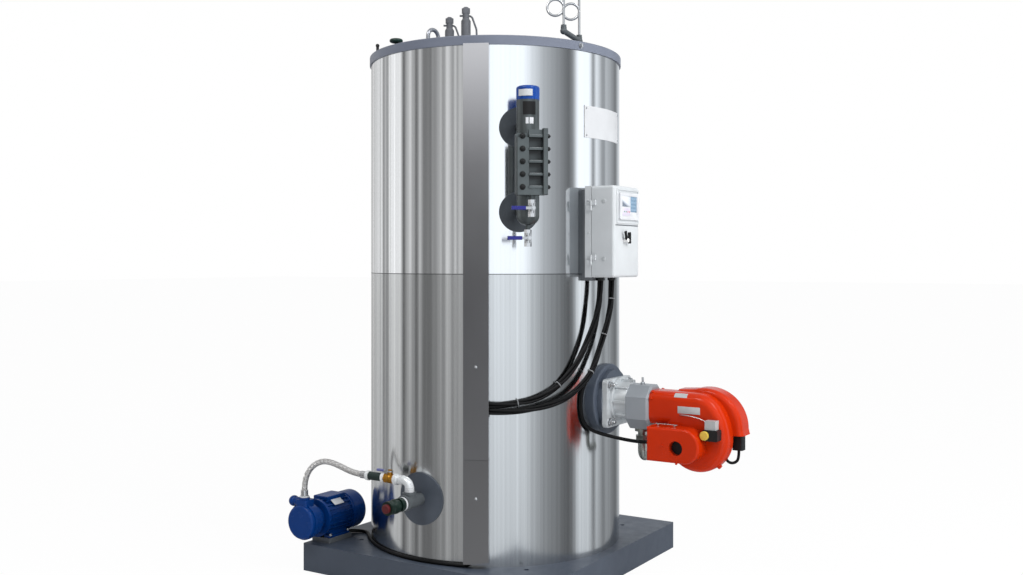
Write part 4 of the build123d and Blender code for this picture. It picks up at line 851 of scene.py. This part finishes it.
def burner_trim():
    """Nuts of the flange, the block's stud, cap screws of the duct and the scroll's lug."""
    bm = bmesh.new()
    for across in (-0.086, 0.086):
        for rise in (-0.073, 0.073):
            place = (NECK_X, across, BURNER_Z - 0.008 + rise)
            bolt(bm, place, (1, 0, 0), 0.022, 0.013)
            bar(bm, facing(place, (1, 0, 0)), 0.0065, 0.014, 0.028, 16, 0.001)
    bar(bm, facing((STUD_X, 0, 0.790), (0, 0, 1)), 0.0045, 0, 0.029, 16, 0.001)
    bolt(bm, (STUD_X, 0, 0.791), (0, 0, 1), 0.015, 0.007)
    finish_piece("burner_nuts", bm, "steel_pipe")
    bm = bmesh.new()
    for turn in (10, 55, 125, 170):
        angle = math.radians(turn)
        away = Vector((0, -math.cos(angle), math.sin(angle)))
        across = -DUCT_HALF * math.copysign(1, math.cos(angle))
        place = Vector((DUCT_X + 0.010, across, DUCT_Z)) + away * DUCT_EDGE
        bar(bm, facing(place, away), 0.006, -0.003, 0.006, 16, 0.001)
    for x, z in ((0.842, 0.584), (0.900, 0.520)):
        bar(bm, facing((x, BURNER_FACE - 0.078, z), (0, -1, 0)), 0.0045, -0.002, 0.003, 16, 0.0008)
    lean = Matrix.Rotation(math.radians(40), 4, "Y")
    slab(bm, Matrix.Translation((1.024, -0.028, 0.507)) @ lean, (0.022, 0.016, 0.016), 0.003)
    finish_piece("burner_screws", bm, "burner_orange")


def burner_labels():
    """Bare plates on the duct."""
    bm = bmesh.new()
    slab(bm, Matrix.Translation((0.917, BURNER_FACE - 0.0003, 0.711)), (0.091, 0.0012, 0.027), 0.0004)
    finish_piece("duct_plate", bm, "white_plate", finish=TAG_GREY)
    bm = bmesh.new()
    placing = facing((0.881, -DUCT_HALF, DUCT_Z), (1, 0, 0), (0, -1, 0))
    lean = placing @ Matrix.Rotation(math.radians(45), 4, "Z")
    bent_plate(bm, lean, DUCT_EDGE, math.radians(17), -0.026, 0.026, 0.0008)
    finish_piece("duct_tag", bm, "white_plate", finish=TAG_GREY)


def burner_tubes():
    """The air signal tube over the duct's foot and the damper rod over the air box."""
    signal = [
        (0.872, -0.054, 0.690), (0.884, -0.066, 0.692), (0.915, -0.070, 0.692), (0.955, -0.071, 0.687),
        (0.985, -0.072, 0.678), (1.000, -0.074, 0.668), (1.004, -0.074, 0.656),
    ]
    rod = [(0.796, -0.092, 0.6560), (0.884, -0.092, 0.6560)]
    bm = strands("burner_tubes", [read_path(signal, 10), [Vector(p) for p in rod]], 0.0028, 2)
    for x in (0.806, 0.874):
        slab(bm, Matrix.Translation((x, -0.092, AIR_BOX_TOP + 0.004)), (0.008, 0.012, 0.010), 0.001)
    finish_piece("burner_tubes", bm, "steel_pipe")


def feed_trim():
    """Pale thread rings on the feed line, and a collar on the tee and on the pump's nozzle."""
    bm = bmesh.new()
    band(bm, facing((0, -0.640, 0.356), (0, -1, 0)), 0.0208, 0.0265, 0.0, 0.0100)
    band(bm, facing(HOSE_ROUTE[-1], (0, 0, 1)), 0.0110, 0.0200, -0.0005, 0.0060)
    for rise in (0.3955, 0.402, 0.4085):
        band(bm, facing((0, FEED_Y, rise), (0, 0, 1)), 0.0168, 0.0185, 0.0, 0.0040)
    for x in (-0.064, -0.034):
        band(bm, facing((x, FEED_Y, FEED_LINE_Z), (1, 0, 0)), 0.0168, 0.0188, 0.0, 0.0050)
    finish_piece("feed_rings", bm, "white_plate")


def pump_trim():
    """The motor's bare plate and the foot bolts."""
    bm = bmesh.new()
    lean = math.radians(MOTOR_PLATE_LEAN)
    out = Vector((math.cos(lean), 0, math.sin(lean)))
    place = Vector(MOTOR_CENTRE) + out * MOTOR_PLATE_OUT
    slab(bm, facing(place, out, (0, 1, 0)), (0.036, 0.058, 0.0014), 0.0004)
    finish_piece("motor_plate", bm, "display_grey")
    bm = bmesh.new()
    for x in (-0.600, -0.480):
        for y in (-0.512, -0.404):
            bolt(bm, (x, y, FOOT_Z), (0, 0, 1), 0.011, 0.006)
    finish_piece("foot_bolts", bm, "steel_pipe")


def dial_number(text, placing, size):
    curve = bpy.data.curves.new("number", "FONT")
    curve.body = text
    curve.size = size
    curve.align_x = "CENTER"
    curve.align_y = "CENTER"
    curve.extrude = 0.00015
    holder = bpy.data.objects.new("number", curve)
    scene.collection.objects.link(holder)
    mesh = take_mesh(holder)
    mesh.transform(placing)
    return mesh


def pressure_dial():
    """The face, its scale and numbers, the needle and the glass."""
    placing = facing(DIAL_AT, outward(DIAL_AZ))
    bm = bmesh.new()
    bar(bm, placing, DIAL_R, 0.0155, 0.0165, 64)
    finish_piece("dial_face", bm, "white_plate", finish=DIAL_WHITE)
    bm = bmesh.new()
    for step in range(DIAL_STEPS + 1):
        turn = placing @ Matrix.Rotation(math.radians(DIAL_START - DIAL_STEP * step), 4, "Z")
        long, wide = (0.007, 0.0012) if step % 5 == 0 else (0.004, 0.0006)
        slab(bm, turn @ Matrix.Translation((DIAL_SCALE_R - long / 2, 0, 0.0166)), (long, wide, 0.0004))
        if step % 10 == 0:
            upright = placing.copy()
            upright.translation = turn @ Vector((DIAL_NUMBER_R, 0, 0.0166))
            mesh = dial_number(str(step // 5), upright, 0.0095)
            bm.from_mesh(mesh)
            bpy.data.meshes.remove(mesh)
    needle = placing @ Matrix.Rotation(math.radians(DIAL_START), 4, "Z")
    slab(bm, needle @ Matrix.Translation((0.012, 0, 0.0176)), (0.042, 0.0018, 0.0006))
    lathe(bm, placing, [(0, 0.0186), (0.0035, 0.0184), (0.0042, 0.0168)], 24)
    finish_piece("dial_scale", bm, "black_plastic")
    bm = bmesh.new()
    bar(bm, placing, DIAL_R, 0.0188, 0.0197, 64)
    finish_piece("dial_glass", bm, "gauge_glass", finish=CLEAR)


cladding_trim()
plate_rivets()
column_labels()
gauge_bolts()
cabinet_trim()
display_face()
lock_trim()
burner_trim()
burner_labels()
burner_tubes()
feed_trim()
pump_trim()
pressure_dial()


def build_camera():
    data = bpy.data.cameras.new("camera")
    data.lens = CAMERA_LENS
    data.sensor_width = 36.0
    data.shift_y = CAMERA_SHIFT
    camera = bpy.data.objects.new("camera", data)
    camera.location = CAMERA_AT
    camera.rotation_euler = (math.radians(90), 0, math.radians(CAMERA_TURN))
    scene.collection.objects.link(camera)
    scene.camera = camera


# Studio strips that the metal mirrors: degrees from the camera's side, right is positive, and brightness
LEFT_PANELS = [
    (-180, 0.5), (-140, 0.7), (-130, 0.9), (-120, 0.4), (-115, 0.4), (-110, 1.0), (-95, 0.9), (-90, 0.1),
    (-85, 0.6), (-80, 0.6), (-75, 0.2), (-70, 0.5), (-65, 0.2), (-60, 0.2), (-45, 0.6), (-30, 0.5),
]
RIGHT_PANELS = [
    (-10, 0.2), (-5, 1.2), (25, 1.2), (35, 0.8), (45, 0.5), (60, 0.3), (70, 0.15), (75, 0.3),
    (80, 1.2), (95, 1.2), (100, 0.2), (105, 1.0), (115, 0.3), (120, 0.6), (145, 0.2), (160, 0.7),
]
# Brightness of the panel between them, by the rise of the ray
MIDDLE_PANEL = [(-0.3, 0.2), (-0.05, 0.12), (0.1, 0.2), (0.2, 0.9), (0.3, 1.0)]
PANEL_SCALE = 1.2
# The panel between them, in degrees as above
MIDDLE_LEFT = -27
MIDDLE_RIGHT = -9
# Fine noise across the left strips, in a whole turn
PLEATS = 90.0


def build_world():
    """Soft studio: white to the camera, bright and dark panels to the metal, a pale dome to the rest."""
    world = bpy.data.worlds.new("studio")
    world.use_nodes = True
    scene.world = world
    tree = Finish(world.node_tree)
    out = world.node_tree.nodes["World Output"]
    world.node_tree.nodes.remove(world.node_tree.nodes["Background"])
    way = tree.node("ShaderNodeTexCoord", output=0)
    turned = tree.node("ShaderNodeMapping", {}, {0: way, 2: (0, 0, math.radians(90 - CAMERA_TURN))})
    x, y, z = (tree.node("ShaderNodeSeparateXYZ", {}, {0: turned}, axis) for axis in range(3))
    angle = y.math("ARCTAN2", x) / (2 * math.pi) + 0.5

    def panel(level, table, start, span, blue=0.0):
        stops = []
        for place, bright in table:
            grey = bright / PANEL_SCALE
            stops.append(((place - start) / span, (grey * (1 - blue), grey, grey * (1 + blue), 1.0)))
        return tree.node("ShaderNodeValToRGB", {"stops": stops}, {0: level})

    pleats = tree.node("ShaderNodeTexNoise", {"noise_dimensions": "1D"}, {1: angle, 2: PLEATS, 3: 2.0})
    left = tree.node("ShaderNodeVectorMath", {"operation": "SCALE"}, {
        0: panel(angle, LEFT_PANELS, -180, 360), 3: tree.ramp(pleats, 0.6, 1.3, 0.35, 0.65)})
    right = panel(angle, RIGHT_PANELS, -180, 360, 0.05)
    middle = panel((z + 0.3) / 0.6, MIDDLE_PANEL, -0.3, 0.6)
    low = tree.ramp(z, 0.45, 0.0, -0.34, 0.0)
    past_middle = 0.5 + MIDDLE_RIGHT / 360
    sides = tree.mix(low, tree.mix(angle > past_middle, left, right), (0.09, 0.09, 0.095, 1.0))
    between = (angle > 0.5 + MIDDLE_LEFT / 360) * (angle < past_middle)
    panels = tree.node("ShaderNodeVectorMath", {"operation": "SCALE"}, {
        0: tree.mix(between, sides, middle), 3: PANEL_SCALE})
    dome = tree.mix(tree.ramp(z, 0, 1, -0.4, 0.8), (0.12, 0.12, 0.13, 1.0), (0.62, 0.63, 0.66, 1.0))
    rays = tree.node("ShaderNodeLightPath", output=0)
    glossy = tree.node("ShaderNodeLightPath", output=3)
    colour = tree.mix(rays, tree.mix(glossy, dome, panels), (1.0, 1.0, 1.0, 1.0))
    background = tree.node("ShaderNodeBackground", {}, {0: colour, 1: 1.0})
    world.node_tree.links.new(background.socket, out.inputs[0])


def build_stage():
    """A white floor that keeps the shadow; the metal sees the studio's panels past it."""
    bm = bmesh.new()
    bmesh.ops.create_grid(bm, x_segments=1, y_segments=1, size=60.0)
    mesh = bpy.data.meshes.new("floor")
    bm.to_mesh(mesh)
    bm.free()
    floor = bpy.data.objects.new("floor", mesh)
    scene.collection.objects.link(floor)
    material, tree, vary = finish_of("floor_white", roughness=0.8)
    vary("Base Color", tree.mix(tree.noise(2.0), srgb(240, 240, 240), srgb(248, 248, 248)))
    cloth = Level(tree, material.node_tree.nodes["Principled BSDF"].outputs[0])
    rays = tree.node("ShaderNodeLightPath", output=0)
    glossy = tree.node("ShaderNodeLightPath", output=3)
    glow = tree.node("ShaderNodeEmission", {}, {0: (1.0, 1.0, 1.0, 1.0), 1: 1.0})
    seen = tree.node("ShaderNodeMixShader", {}, {0: rays * 0.965, 1: cloth, 2: glow})
    past = tree.node("ShaderNodeBsdfTransparent")
    whole = tree.node("ShaderNodeMixShader", {}, {0: glossy, 1: seen, 2: past})
    material.node_tree.links.new(whole.socket, material.node_tree.nodes["Material Output"].inputs[0])
    mesh.materials.append(material)


def soft_box(name, place, target, size, power, mirrored=True):
    lamp = bpy.data.lights.new(name, "AREA")
    lamp.shape = "RECTANGLE"
    lamp.size = size[0]
    lamp.size_y = size[1]
    lamp.energy = power
    thing = bpy.data.objects.new(name, lamp)
    thing.location = place
    thing.rotation_euler = (Vector(target) - Vector(place)).to_track_quat("-Z", "Y").to_euler()
    scene.collection.objects.link(thing)
    thing.visible_glossy = mirrored


build_camera()
build_world()
build_stage()
soft_box("key", (4.7, -0.8, 3.4), (0.6, 0, 0.8), (2.0, 2.4), 165, False)
soft_box("glint", (4.2, -1.0, 5.4), (0.6, 0, 0.9), (1.2, 1.2), 60)
soft_box("fill", (-0.5, -4.2, 5.6), (0.2, 0, 0.9), (2.0, 2.0), 80)
